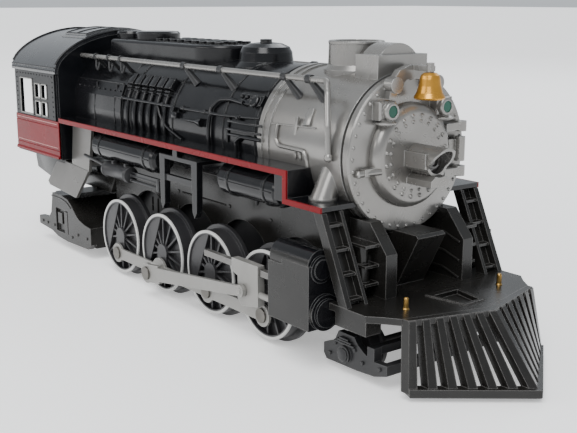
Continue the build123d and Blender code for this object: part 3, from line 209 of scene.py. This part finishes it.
DULL_GREY = plastic("dull_grey", (0.125, 0.12, 0.113), (0.175, 0.17, 0.162), (0.26, 0.38), metallic=0.5,
                    edge_wear_and_highlight=(0.34, 0.34, 0.33), mottle=24.0)
# satin black whose edges are painted lighter: rubbed wear plus painted edge highlight
WORN_HIGHLIT_BLACK = plastic("worn_highlit_black", (0.0070, 0.0066, 0.0060), (0.0145, 0.0137, 0.0125), (0.18, 0.34),
                     grain=500.0, edge_wear_and_highlight=(0.14, 0.135, 0.13), specular=0.36, mottle=40.0)
SKY_BLACK = plastic("roof_black", (0.010, 0.011, 0.013), (0.018, 0.019, 0.022), (0.20, 0.32), coat=0.9,
                    grain=500.0, edge_wear_and_highlight=(0.14, 0.14, 0.14), specular=0.6)
CAB_BLACK = plastic("cab_black", (0.0035, 0.0040, 0.0050), (0.0080, 0.0085, 0.0100), (0.12, 0.24),
                    edge_wear_and_highlight=(0.10, 0.10, 0.10), grain=600.0, specular=0.17)
# painted shade: near-black, barely reflective material for the recess at the back of the smokebox front
GROOVE_PAINTED_SHADE = plastic("groove_painted_shade", (0.001, 0.001, 0.001), (0.003, 0.003, 0.003), (0.6, 0.7), specular=0.1)


def wheel_material(name, x, z, radius, face_y):
    """Dark wheel whose outermost ring is light: the ring is set by distance from the axle's line."""
    tree = Tree(name)
    split = tree.nodes.new("ShaderNodeSeparateXYZ")
    tree.link(tree.coord, split.inputs[0])
    dx = tree.math("SUBTRACT", split.outputs["X"], x * MM)
    dz = tree.math("SUBTRACT", split.outputs["Z"], z * MM)
    out = tree.math("SQRT", tree.math("ADD", tree.math("MULTIPLY", dx, dx), tree.math("MULTIPLY", dz, dz)))
    side = tree.math("ABSOLUTE", split.outputs["Y"])
    in_ring = tree.math("GREATER_THAN", out, radius * MM)
    on_face = tree.math("GREATER_THAN", side, face_y * MM)
    ring = tree.math("MULTIPLY", in_ring, on_face)
    dark = tree.ramp(tree.noise(60.0), (0.012, 0.012, 0.014), (0.026, 0.025, 0.026))
    light = tree.ramp(tree.noise(90.0), (0.40, 0.40, 0.39), (0.52, 0.52, 0.50))
    tree.feed(tree.mix(ring, dark, light), "Base Color")
    tree.feed(tree.ramp(tree.noise(40.0), 0.34, 0.48), "Roughness")
    tree.bump(tree.noise(900.0), 0.4, 0.00002, 0.0004)
    return tree.mat


def paint(node, material):
    """Gives a CAD node one material."""
    mesh = nodes[node].data
    mesh.materials.clear()
    mesh.materials.append(material)


def paint_part(node, material, chosen):
    """Gives a second material to the faces that a test on centre (in millimetres) and normal picks."""
    mesh = nodes[node].data
    mesh.materials.append(material)
    second = len(mesh.materials) - 1
    for face in mesh.polygons:
        if chosen(face.center / MM, face.normal):
            face.material_index = second


for entry in frame["record"]["subparts"]:
    paint(entry["node"], MATERIALS[entry["material_slot"]])
for index, x in enumerate(DRIVER_X):
    paint("driver_wheels_%d" % (index + 1), wheel_material(
        "driver_%d" % (index + 1), x, AXLE_Z, LIGHT_RING_R, LIGHT_RING_Y))
for side in ("right", "left"):
    for name in ("side_rod_", "main_rod_", "crosshead_"):
        paint(name + side, LIGHT_GREY)
for name in ("pilot", "front_deck", "ladders", "pump_shields", "side_skirts", "trailing_truck_frame"):
    paint(name, WORN_HIGHLIT_BLACK)
for name in ("guide_bars", "firebox_sides"):
    paint(name, DULL_GREY)
paint("cab_roof", SKY_BLACK)
paint("cab_shell", CAB_BLACK)
paint_part("cylinder_blocks", WORN_HIGHLIT_BLACK,
           lambda centre, normal: abs(normal.y) > 0.9 and abs(centre.y) > CYLINDER_SIDE_Y)
# painted shade in the recess behind the smokebox front's plate
paint_part("smokebox_front", GROOVE_PAINTED_SHADE, lambda centre, normal: centre.x < GROOVE_X)
paint_part("handrails", MATERIALS["dark_plastic"],
           lambda centre, normal: centre.x < RAIL_STRUT_X and math.hypot(
               abs(centre.y) - RAIL[0], centre.z - RAIL[1]) > RAIL_SKIN)

# ---- mesh building, in millimetres ----
def basis(direction):
    """Two unit vectors across a direction."""
    forward = Vector(direction).normalized()
    helper = Vector((0, 0, 1)) if abs(forward.z) < 0.9 else Vector((1, 0, 0))
    side = forward.cross(helper).normalized()
    return side, side.cross(forward).normalized()


def rounded_path(points, radius, steps=6):
    """Polyline whose corners are replaced by quadratic bends of about the given radius."""
    points = [Vector(point) for point in points]
    path = [points[0]]
    for before, corner, after in zip(points, points[1:], points[2:]):
        reach = min(radius, (before - corner).length * 0.45, (after - corner).length * 0.45)
        start = corner + (before - corner).normalized() * reach
        end = corner + (after - corner).normalized() * reach
        for step in range(steps + 1):
            t = step / steps
            path.append(start * (1 - t) ** 2 + corner * 2 * t * (1 - t) + end * t ** 2)
    path.append(points[-1])
    return path


class Piece:
    """Collects closed shapes in one mesh and hands it over as a piece of the locomotive."""

    def __init__(self):
        self.bm = bmesh.new()

    def shape(self, points, faces, bevel=0.0, segments=2):
        verts = [self.bm.verts.new(Vector(point) * MM) for point in points]
        made = [self.bm.faces.new([verts[index] for index in face]) for face in faces]
        bmesh.ops.recalc_face_normals(self.bm, faces=made)
        if bevel:
            edges = list({edge for face in made for edge in face.edges})
            bmesh.ops.bevel(self.bm, geom=edges, offset=bevel * MM, segments=segments, affect="EDGES",
                            profile=0.5, clamp_overlap=True)

    def box(self, x, y, z, bevel=0.3):
        corners = [(a, b, c) for a in x for b in y for c in z]
        faces = [(0, 1, 3, 2), (4, 6, 7, 5), (0, 4, 5, 1), (2, 3, 7, 6), (0, 2, 6, 4), (1, 5, 7, 3)]
        self.shape(corners, faces, bevel)

    def block(self, centre, along, out, size, bevel=0.3):
        """Box turned so that its first size runs along, its last one out of a surface."""
        along, out = Vector(along).normalized(), Vector(out).normalized()
        third = out.cross(along)
        half = [value / 2 for value in size]
        corners = [Vector(centre) + along * a * half[0] + third * b * half[1] + out * c * half[2]
                   for a in (-1, 1) for b in (-1, 1) for c in (-1, 1)]
        faces = [(0, 1, 3, 2), (4, 6, 7, 5), (0, 4, 5, 1), (2, 3, 7, 6), (0, 2, 6, 4), (1, 5, 7, 3)]
        self.shape(corners, faces, bevel)

    def prism(self, outline, axis, span, bevel=0.0):
        """Outline in the other two axes, extruded along axis between the span's ends."""
        place = {"x": lambda p, s: (s, p[0], p[1]), "y": lambda p, s: (p[0], s, p[1]),
                 "z": lambda p, s: (p[0], p[1], s)}[axis]
        count = len(outline)
        points = [place(point, end) for end in span for point in outline]
        faces = [tuple(range(count)), tuple(range(count, 2 * count))]
        faces += [(i, (i + 1) % count, (i + 1) % count + count, i + count) for i in range(count)]
        self.shape(points, faces, bevel)

    def lathe(self, profile, origin, direction, sides=32):
        """Profile of (along, radius) turned round a line through origin."""
        forward = Vector(direction).normalized()
        side, up = basis(direction)
        rows = []
        for along, radius in profile:
            centre = Vector(origin) + forward * along
            if radius <= 0:
                rows.append([self.bm.verts.new(centre * MM)])
                continue
            turn = [2 * math.pi * step / sides for step in range(sides)]
            rows.append([self.bm.verts.new((centre + (side * math.cos(a) + up * math.sin(a)) * radius) * MM)
                         for a in turn])
        made = []
        for row, after in zip(rows, rows[1:]):
            for step in range(sides):
                following = (step + 1) % sides
                ends = [row[step % len(row)], row[following % len(row)],
                        after[following % len(after)], after[step % len(after)]]
                unique = list(dict.fromkeys(ends))
                if len(unique) > 2:
                    made.append(self.bm.faces.new(unique))
        for row in (rows[0], rows[-1]):
            if len(row) > 1:
                made.append(self.bm.faces.new(row))
        bmesh.ops.recalc_face_normals(self.bm, faces=made)

    def tube(self, points, radius, bend=2.0, sides=12):
        """Round bar along a path with softened corners and domed ends."""
        path = rounded_path(points, bend) if len(points) > 2 else [Vector(point) for point in points]
        side = basis(path[1] - path[0])[0]
        rings = []
        for index, point in enumerate(path):
            before, after = path[max(index - 1, 0)], path[min(index + 1, len(path) - 1)]
            forward = (after - before).normalized()
            side = (side - forward * side.dot(forward)).normalized()
            up = forward.cross(side)
            turn = [2 * math.pi * step / sides for step in range(sides)]
            rings.append([self.bm.verts.new((point + (side * math.cos(a) + up * math.sin(a)) * radius) * MM)
                          for a in turn])
        made = []
        for ring, after in zip(rings, rings[1:]):
            for step in range(sides):
                following = (step + 1) % sides
                made.append(self.bm.faces.new((ring[step], ring[following], after[following], after[step])))
        made += [self.bm.faces.new(rings[0]), self.bm.faces.new(rings[-1])]
        bmesh.ops.recalc_face_normals(self.bm, faces=made)

    def rivet(self, place, out, radius=0.6, height=0.45):
        """Low domed head standing on a surface."""
        self.lathe([(-0.3, radius), (0, radius), (height * 0.6, radius * 0.8), (height, 0)], place, out, 12)

    def bolt(self, place, out, radius=1.2, height=0.9):
        """Hexagon head with a chamfered top."""
        self.lathe([(-0.3, radius), (height * 0.7, radius), (height, radius * 0.72)], place, out, 6)

    def mirror(self):
        """Adds the same shapes on the other side of the centre line."""
        whole = self.bm.verts[:] + self.bm.edges[:] + self.bm.faces[:]
        copy = bmesh.ops.duplicate(self.bm, geom=whole)["geom"]
        for item in copy:
            if isinstance(item, bmesh.types.BMVert):
                item.co.y = -item.co.y
        faces = [item for item in copy if isinstance(item, bmesh.types.BMFace)]
        bmesh.ops.reverse_faces(self.bm, faces=faces)
        return self

    def done(self, name, material, slot, body="chassis"):
        """Makes the object, marks its sharp edges and fixes it to a body."""
        sharp = math.radians(38)
        for face in self.bm.faces:
            face.smooth = True
        for edge in self.bm.edges:
            if len(edge.link_faces) == 2 and edge.calc_face_angle(0) > sharp:
                edge.smooth = False
        mesh = bpy.data.meshes.new(name)
        self.bm.to_mesh(mesh)
        self.bm.free()
        mesh.materials.append(material)
        piece = bpy.data.objects.new(name, mesh)
        bpy.context.scene.collection.objects.link(piece)
        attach(piece, body)
        return piece


def shell(x, z, out=0.0, radius=BOILER_R):
    """Point on the right side of the barrel at a height, some way off its skin."""
    reach = radius + out
    rise = z - BOILER_Z
    return Vector((x, -math.sqrt(max(reach ** 2 - rise ** 2, 0)), z))


def outward(z, radius=BOILER_R):
    """Direction away from the barrel's axis on the right side at a height on its skin."""
    rise = (z - BOILER_Z) / radius
    return Vector((0, -math.sqrt(max(1 - rise ** 2, 0)), rise))


def round_barrel(x, high, low, out, radius=BOILER_R, steps=10):
    """Points down the barrel's right side between two heights."""
    top, bottom = (math.asin((z - BOILER_Z) / (radius + out)) for z in (high, low))
    turn = [top + (bottom - top) * step / steps for step in range(steps + 1)]
    return [Vector((x, -(radius + out) * math.cos(a), BOILER_Z + (radius + out) * math.sin(a))) for a in turn]


LINE_PAINT = plastic("line_paint", (0.46, 0.20, 0.19), (0.54, 0.26, 0.24), (0.3, 0.4))
BLACK, SATIN, SILVER = (MATERIALS[slot] for slot in ("black_plastic", "dark_plastic", "silver_plastic"))


# ---- boiler fittings ----
def check_valve_blocks():
    """Six blocks in a row below the handrail, each with a grooved neck and a pipe down to the board."""
    piece = Piece()
    count, first, pitch = 6, -64.5, 7.9
    for number in range(count):
        x = first + pitch * number
        for z, size in ((106.0, (6.0, 6.4, 5.2)), (102.3, (4.6, 0.9, 4.0)), (100.9, (3.8, 0.9, 3.4))):
            out = outward(z)
            piece.block(shell(x, z, 0.8), (1, 0, 0), out, size, 0.3)
        piece.tube(round_barrel(x, 101.0, BOARD_Z - 0.4, 0.75), 0.95, bend=0.5)
    piece.mirror().done("check_valve_blocks", BLACK, "black_plastic")


def boiler_pipes():
    """Long horizontal pipe, the upright with a swan neck, the front hook pipe and a slack hose."""
    piece = Piece()
    z = 96.4
    piece.tube([shell(-79.0, z, 1.5), shell(28.0, z - 0.2, 1.5), shell(56.5, 97.4, 0.7)], 0.75)
    for x in (-72.0, -28.0, -8.0, 12.0, 40.0):
        piece.lathe([(0, 1.25), (1.6, 1.25)], shell(x, z, 1.4), (1, 0, 0), 14)
    upright = round_barrel(17.4, 99.0, BOARD_Z - 0.4, 1.4)
    neck = [shell(41.0, 103.0, 1.4), shell(30.0, 103.8, 1.4), shell(21.5, 103.0, 1.5)]
    piece.tube(neck + upright, 1.0, bend=2.4)
    hook = round_barrel(40.4, 85.0, BOARD_Z - 0.4, 1.3)
    piece.tube([shell(60.0, 88.0, 1.2), shell(44.6, 88.0, 1.4)] + hook, 0.9, bend=2.4)
    hose = [shell(x, height, 0.9) for x, height in (
        (-33.0, 95.8), (-29.0, 90.0), (-22.0, 85.0), (-9.0, BOARD_Z))]
    piece.tube(hose, 0.6, bend=5.0)
    piece.mirror().done("boiler_pipes", BLACK, "black_plastic")


def boiler_valves():
    """Small castings on the barrel: valve, flared spout, and a flat box with a round cap and two studs."""
    piece = Piece()
    along = (1, 0, 0)
    piece.block(shell(-14.0, 92.4, 0.9), along, outward(92.4), (4.4, 3.2, 2.6))
    piece.lathe([(0, 1.0), (2.4, 1.6), (3.2, 1.6)], shell(-13.6, 95.0, 0.8), outward(95.0), 16)
    piece.lathe([(0, 0.6), (9.0, 0.9), (14.0, 2.2), (15.0, 2.2)], shell(-3.8, 91.0, 1.2), along, 16)
    piece.block(shell(46.0, 104.6, 0.6), along, outward(104.6), (17.0, 5.6, 1.6))
    cap = [(0, 2.9), (1.6, 2.9), (2.0, 2.4), (1.4, 1.9), (1.4, 0)]
    piece.lathe(cap, shell(50.2, 103.9, 1.2), outward(103.9), 24)
    for x in (39.6, 43.6):
        piece.lathe([(0, 1.2), (1.4, 1.2), (2.2, 0.7)], shell(x, 105.4, 1.2), outward(105.4), 14)
    piece.tube([shell(38.0, 107.0, 1.2), shell(54.5, 107.0, 1.2)], 0.5)
    piece.mirror().done("boiler_valves", BLACK, "black_plastic")


def louvred_box():
    """Three long louvres low on the barrel, and the bead down their rear end."""
    piece = Piece()
    for z, depth in ((94.0, 1.3), (90.5, 1.5), (88.0, 1.1)):
        piece.block(shell(46.5, z, 0.4), (1, 0, 0), outward(z), (27.0, 1.1, depth * 2), 0.3)
    piece.tube(round_barrel(32.6, 96.0, 84.0, 0.5), 0.6, bend=0.5)
    piece.mirror().done("louvred_box", BLACK, "black_plastic")


def jacket_seams():
    """Raised sheet joints of the firebox jacket, the line under its shoulder and a row of rivets."""
    piece = Piece()
    runs = (((-34.45, 81.0), (-34.4, 90.0)), ((-34.05, 90.0), (-34.0, 96.0)),
            ((-32.45, 96.0), (-32.1, 103.0)))
    for x in (-103.0, -79.0):
        for low, high in runs:
            piece.tube([(x, *low), (x, *high)], 0.45)
    piece.tube([(-128.6, -31.1, 103.8), (-72.6, -31.1, 103.8)], 0.5)
    for number in range(9):
        x = -124.0 + 6.2 * number
        piece.rivet((x, -33.1, 99.8), (0, -1, 0.32), 0.5)
    piece.mirror().done("jacket_seams", BLACK, "black_plastic")


def smokebox_pipes():
    """Moulded pipe runs and brackets on the silver smokebox's side."""
    piece = Piece()
    reach = dict(radius=SMOKEBOX_R)
    down = round_barrel(70.6, 96.4, 90.0, 0.5, SMOKEBOX_R)
    along = [shell(x, z, 0.5, **reach) for x, z in (
        (73.0, 87.4), (90.6, 87.0), (92.3, 84.0), (92.3, BOARD_Z - 0.2))]
    piece.tube(down + along, 0.95, bend=2.2)
    piece.tube([shell(66.0, 96.2, 0.2, **reach), shell(96.0, 97.2, 0.2, **reach)], 0.4)
    piece.block(shell(89.6, 101.0, 0.2, **reach), (1, 0, 0.1), outward(101.0, SMOKEBOX_R), (4.6, 7.6, 1.5))
    piece.block(shell(83.4, 96.6, 0.2, **reach), (0.2, 0, 1), outward(96.6, SMOKEBOX_R), (8.8, 1.6, 1.5))
    for x in (84.6, 87.8):
        piece.block(shell(x, 84.4, 0.1, **reach), (0, 0, 1), outward(84.4, SMOKEBOX_R), (3.0, 1.1, 1.2))
    piece.mirror().done("smokebox_pipes", SILVER, "silver_plastic")


def handrail_hooks():
    """Dark curled hooks under the rail at the cab end."""
    piece = Piece()
    for x in (-110.0, -94.0, -80.0):
        curl = [(x, -RAIL[0], 115.4), (x + 1.6, -29.6, 110.6), (x + 4.6, -30.0, 109.4),
                (x + 5.4, -29.4, 112.6), (x + 3.4, -28.9, 113.2)]
        piece.tube(curl, 0.7, bend=1.6)
    piece.mirror().done("handrail_hooks", SATIN, "dark_plastic")


def reverser():
    """Power reverser below the running board: control rod, cylinder with its heads and twin piston rods."""
    piece = Piece()
    y, z = -42.0, 57.5
    piece.tube([(-102.8, y, 61.4), (-75.0, y, 58.6)], 0.9)
    cylinder = [(-0.8, 2.0), (0, 4.2), (1.8, 4.6), (2.6, 4.0),
                (24.6, 4.0), (25.4, 4.6), (27.2, 4.2), (28.0, 2.0)]
    piece.lathe(cylinder, (-75.0, y, z), (1, 0, 0), 32)
    for height in (z, 54.8):
        piece.tube([(-48.0, y, height), (-17.5, y, height)], 0.9)
    piece.box((-18.9, -16.1), (y - 1.6, y + 1.6), (53.2, 59.2), 0.3)
    for x in (-68.0, -54.0):
        piece.box((x, x + 2.0), (y - 1.2, -32.0), (61.0, 63.0), 0.3)
    piece.mirror().done("reverser", SATIN, "dark_plastic")


def skirt_lines():
    """Moulded pipe runs on the skirt behind the wheels."""
    piece = Piece()
    y = SKIRT_Y - 0.15
    for x in (-56.0, -50.0, -28.0):
        piece.tube([(x, y, 42.5), (x, y, 34.4)], 0.5)
    piece.tube([(29.0, y, 61.5), (53.0, y, 56.3)], 0.6)
    piece.tube([(-24.0, y, 50.0), (16.0, y, 50.0)], 0.5)
    for x, z in ((54.0, 49.0), (25.5, 57.5), (-28.0, 50.0), (20.0, 50.0)):
        piece.rivet((x, SKIRT_Y, z), (0, -1, 0), 1.1, 0.7)
    piece.mirror().done("skirt_lines", WORN_HIGHLIT_BLACK, "black_plastic")


def ash_pan():
    """Sloped pan above the trailing truck, and a box on each side under the cab floor."""
    piece = Piece()
    pan = [(-150.0, 47.0), (-146.0, 37.0), (-104.0, 37.0), (-98.0, 47.0)]
    piece.prism(pan, "y", (-26.0, 26.0), 0.5)
    under = [(-178.6, 55.0), (-178.6, 51.2), (-176.4, 44.3), (-149.5, 39.3), (-140.3, 42.5), (-133.3, 55.0)]
    for side in (-1, 1):
        piece.prism(under, "y", sorted((side * 30.0, side * 40.0)), 0.6)
    piece.done("ash_pan", WORN_HIGHLIT_BLACK, "black_plastic")


def shield_ribs():
    """Three bent ribs on the inner face of each shield on the deck."""
    piece = Piece()
    for z in (31.8, 39.4, 47.6):
        bent = [(112.4, SHIELD_Y, z + 3.0), (121.4, SHIELD_Y, z + 3.0), (131.0, SHIELD_Y, z)]
        piece.tube(bent, 0.55, bend=1.0)
    piece.mirror().done("shield_ribs", WORN_HIGHLIT_BLACK, "black_plastic")


def door_dog():
    """Clamp bar from the smokebox ring to the door on the side away from the hinges."""
    piece = Piece()
    piece.tube([(118.6, -28.6, 80.5), (120.0, -24.0, 80.8), (121.6, -19.0, 81.1)], 1.5, bend=1.0)
    piece.bolt((118.2, -28.4, 80.5), (1, 0, 0), 1.7, 1.6)
    piece.done("door_dog", SILVER, "silver_plastic")


def axlebox_bolts():
    """Axlebox cover, bolts and leaf spring on the outer face of each lead truck plate."""
    piece = Piece()
    piece.lathe([(-0.4, 2.9), (0.5, 2.9), (0.9, 2.2)], (LEAD_AXLE_X, -41.3, 8.6), (0, -1, 0), 8)
    for x, z in ((119.5, 12.0), (131.3, 12.0), (116.0, 6.6), (136.0, 8.0), (146.0, 8.4)):
        piece.bolt((x, LEAD_PLATE_Y, z), (0, -1, 0), 0.9, 0.8)
    for number in range(3):
        reach = 6.0 - 1.7 * number
        z = 12.9 + number
        piece.box((LEAD_AXLE_X - reach, LEAD_AXLE_X + reach), (-41.2, -39.6), (z, z + 0.8), 0.15)
    piece.mirror().done("axlebox_bolts", SATIN, "dark_plastic", "lead_truck")


def trailing_bolts():
    """Bolts and a bent rib on the trailing truck's side plates."""
    piece = Piece()
    y = TRAILING_PLATE_Y
    bolts = ((-163.0, 12.0), (-156.0, 12.0), (-146.0, 12.2), (-121.0, 9.0), (-113.0, 12.0), (-101.0, 12.0))
    for x, z in bolts:
        piece.bolt((x, y, z), (0, -1, 0), 0.9, 0.6)
    piece.tube([(-148.0, y, 30.6), (-134.0, y, 30.6), (-126.5, y, 29.4), (-121.5, y, 26.8)], 0.45)
    piece.mirror().done("trailing_bolts", WORN_HIGHLIT_BLACK, "black_plastic", "trailing_truck")


def tank_fittings():
    """End caps, drain cocks and a thin side bead on the four air tanks."""
    piece = Piece()
    for rear, front in TANK_ENDS:
        for x in (rear + 0.2, front - 0.2):
            piece.lathe([(-0.6, 2.2), (0.6, 2.2)], (x, TANK_Y, TANK_Z), (1, 0, 0), 20)
        drain = ((rear + front) / 2, TANK_Y, TANK_Z - 7.2)
        piece.lathe([(0, 1.0), (1.6, 0.9), (2.4, 0.5)], drain, (0, 0, -1), 12)
        piece.tube([(rear + 4.0, -44.1, TANK_Z), (front - 4.0, -44.1, TANK_Z)], 0.35)
    piece.mirror().done("tank_fittings", BLACK, "black_plastic")


def cab_gauges():
    """Gauges and pipes on the cab's front wall, beside the battery door."""
    piece = Piece()
    for y, z, radius in ((-27.0, 92.0, 3.6), (-35.0, 84.0, 2.8), (-27.0, 80.0, 2.4)):
        piece.lathe([(-0.4, radius), (1.4, radius), (1.4, radius - 0.5), (1.0, radius - 0.6), (1.0, 0)],
                    (CAB_WALL_X, y, z), (-1, 0, 0), 24)
    x = CAB_WALL_X - 0.6
    piece.tube([(x, -39.0, 100.0), (x, -39.0, 70.0), (x, -24.0, 66.0)], 0.8, bend=3.0)
    piece.tube([(x, -24.0, 99.0), (x, -31.0, 99.0), (x, -31.0, 72.0)], 0.6, bend=2.0)
    piece.mirror().done("cab_gauges", SATIN, "dark_plastic")


check_valve_blocks()
boiler_pipes()
boiler_valves()
louvred_box()
jacket_seams()
smokebox_pipes()
handrail_hooks()
reverser()
skirt_lines()
ash_pan()
shield_ribs()
door_dog()
axlebox_bolts()
trailing_bolts()
tank_fittings()
cab_gauges()


# ---- cab ----
def roof_height(y, lift=0.0):
    """Height of the cab roof's skin at a distance from the centre line."""
    share = min(abs(y) / ROOF_HALF, 1.0)
    return ROOF_EAVE_Z + ROOF_RISE * (1 - share ** ROOF_POWER) ** (1 / ROOF_POWER) + lift


def roof_line(x, low_y, high_y, steps=14, lift=0.2):
    """Points across the roof's skin between two distances from the centre line."""
    return [(x, low_y + (high_y - low_y) * step / steps,
             roof_height(low_y + (high_y - low_y) * step / steps, lift)) for step in range(steps + 1)]


def cab_roof_trim():
    """Beads round the roof's ends, drip ribs at the eaves and ribs across the hatch."""
    piece = Piece()
    for x in ROOF_ENDS:
        piece.tube(roof_line(x, -45.4, 45.4, 40, 0.0), 0.8, bend=0.3)
    for side in (-1, 1):
        for z, y in ((107.6, 46.3), (109.6, 46.2)):
            piece.tube([(x, side * y, z) for x in ROOF_ENDS], 0.5)
        hatch_z = roof_height(HATCH_HALF, HATCH_RISE)
        piece.tube([(x, side * HATCH_HALF, hatch_z) for x in HATCH_ENDS], 0.4)
    for x in (HATCH_ENDS[0], sum(HATCH_ENDS) / 2, HATCH_ENDS[1]):
        piece.tube(roof_line(x, -HATCH_HALF, HATCH_HALF, 20, HATCH_RISE), 0.4, bend=0.3)
    piece.done("cab_roof_trim", BLACK, "black_plastic")


def cab_windows():
    """Light frames round the openings and beads between the four panes, proud of both walls."""
    piece = Piece()
    skin = (-CAB_Y - 0.45, -CAB_Y + 0.1)
    openings = [(-182.0, -163.6, 79.5, 101.2)]
    openings += [(x, x + 7.6, z, z + 8.4) for x in (-159.6, -150.2) for z in (79.8, 90.4)]
    for x0, x1, z0, z1 in openings:
        for x in (x0, x1):
            piece.box((x - 0.35, x + 0.35), skin, (z0 - 0.35, z1 + 0.35), 0.12)
        for z in (z0, z1):
            piece.box((x0 - 0.35, x1 + 0.35), skin, (z - 0.35, z + 0.35), 0.12)
    piece.mirror().done("cab_window_frames", LIGHT_GREY, "silver_plastic")


def cab_rivets():
    """Rivet lines down the cab's corners and under the eaves."""
    piece = Piece()
    out = (0, -1, 0)
    for number in range(9):
        for x in (-187.6, -134.6):
            piece.rivet((x, -CAB_Y, 80.6 + 2.9 * number), out, 0.5)
    for number in range(13):
        piece.rivet((-186.0 + 4.2 * number, -CAB_Y, 104.2), out, 0.5)
    piece.mirror().done("cab_rivets", BLACK, "black_plastic")


def panel_lines():
    """Thin light border lines painted on the red cab panel."""
    piece = Piece()
    skin = (-46.72, -46.5)
    for z in (76.4, 62.2):
        piece.box((-188.6, -129.4), skin, (z, z + 0.35), 0.0)
    piece.mirror().done("panel_lines", LINE_PAINT, "red_plastic")


cab_roof_trim()
cab_windows()
cab_rivets()
panel_lines()


# ---- floor, light, camera ----
def floor():
    """Pale floor, 28 m square."""
    mesh = bpy.data.meshes.new("floor")
    reach = 14.0
    corners = [(-reach, -reach, 0), (reach, -reach, 0), (reach, reach, 0), (-reach, reach, 0)]
    mesh.from_pydata(corners, [], [(0, 1, 2, 3)])
    plane = bpy.data.objects.new("floor", mesh)
    bpy.context.scene.collection.objects.link(plane)
    tree = Tree("pale_floor")
    tree.feed(tree.ramp(tree.noise(3.0, 3.0), 0.86, 0.89), "Base Color")
    tree.set(Roughness=0.75, Specular_IOR_Level=0.2, Emission_Color=(1, 1, 1, 1), Emission_Strength=0.45)
    mesh.materials.append(tree.mat)


def softbox(name, place, aim, size, power, colour=(1, 1, 1)):
    """Rectangular lamp at a place, turned towards its aim, in metres and watts."""
    data = bpy.data.lights.new(name, "AREA")
    data.shape = "RECTANGLE"
    data.size, data.size_y = size
    data.energy = power
    data.color = colour
    lamp = bpy.data.objects.new(name, data)
    lamp.location = place
    lamp.rotation_mode = "QUATERNION"
    lamp.rotation_quaternion = (Vector(aim) - Vector(place)).to_track_quat("-Z", "Y")
    bpy.context.scene.collection.objects.link(lamp)


floor()
sun = bpy.data.lights.new("sky_sun", "SUN")
sun.energy = 2.2
sun.angle = math.radians(35)
sun_lamp = bpy.data.objects.new("sky_sun", sun)
sun_lamp.rotation_euler = (math.radians(22), math.radians(14), 0)
bpy.context.scene.collection.objects.link(sun_lamp)
softbox("key", (0.9, -1.1, 1.1), (0, 0, 0.08), (0.9, 0.7), 9.0)
softbox("side_strip", (-0.6, -1.5, 0.75), (0, 0, 0.08), (1.6, 0.35), 9.0, (1.0, 0.97, 0.94))
softbox("rim", (-0.6, 1.2, 1.2), (0, 0, 0.1), (1.2, 0.8), 9.0, (0.94, 0.97, 1.0))
world = bpy.data.worlds.new("studio")
bpy.context.scene.world = world
world.use_nodes = True
world.node_tree.nodes["Background"].inputs["Color"].default_value = (0.90, 0.95, 1.0, 1)
world.node_tree.nodes["Background"].inputs["Strength"].default_value = 0.66

CAMERA_AZIMUTH, CAMERA_ELEVATION, CAMERA_ROLL = (math.radians(angle) for angle in (52.44, 12.79, 0.1))
back = Vector((math.sin(CAMERA_AZIMUTH) * math.cos(CAMERA_ELEVATION),
               -math.cos(CAMERA_AZIMUTH) * math.cos(CAMERA_ELEVATION), math.sin(CAMERA_ELEVATION)))
level = (-back).cross(Vector((0, 0, 1))).normalized()
upright = level.cross(-back)
across = level * math.cos(CAMERA_ROLL) + upright * math.sin(CAMERA_ROLL)
upright = upright * math.cos(CAMERA_ROLL) - level * math.sin(CAMERA_ROLL)
lens = bpy.data.cameras.new("camera")
lens.lens = 60.0
lens.sensor_width = 36.0
lens.clip_start = 0.01
lens.clip_end = 60.0
camera = bpy.data.objects.new("camera", lens)
turn = Matrix((across, upright, back)).transposed().to_4x4()
camera.matrix_world = Matrix.Translation(Vector((404.10, -283.56, 149.81)) * MM) @ turn
bpy.context.scene.collection.objects.link(camera)
bpy.context.scene.camera = camera
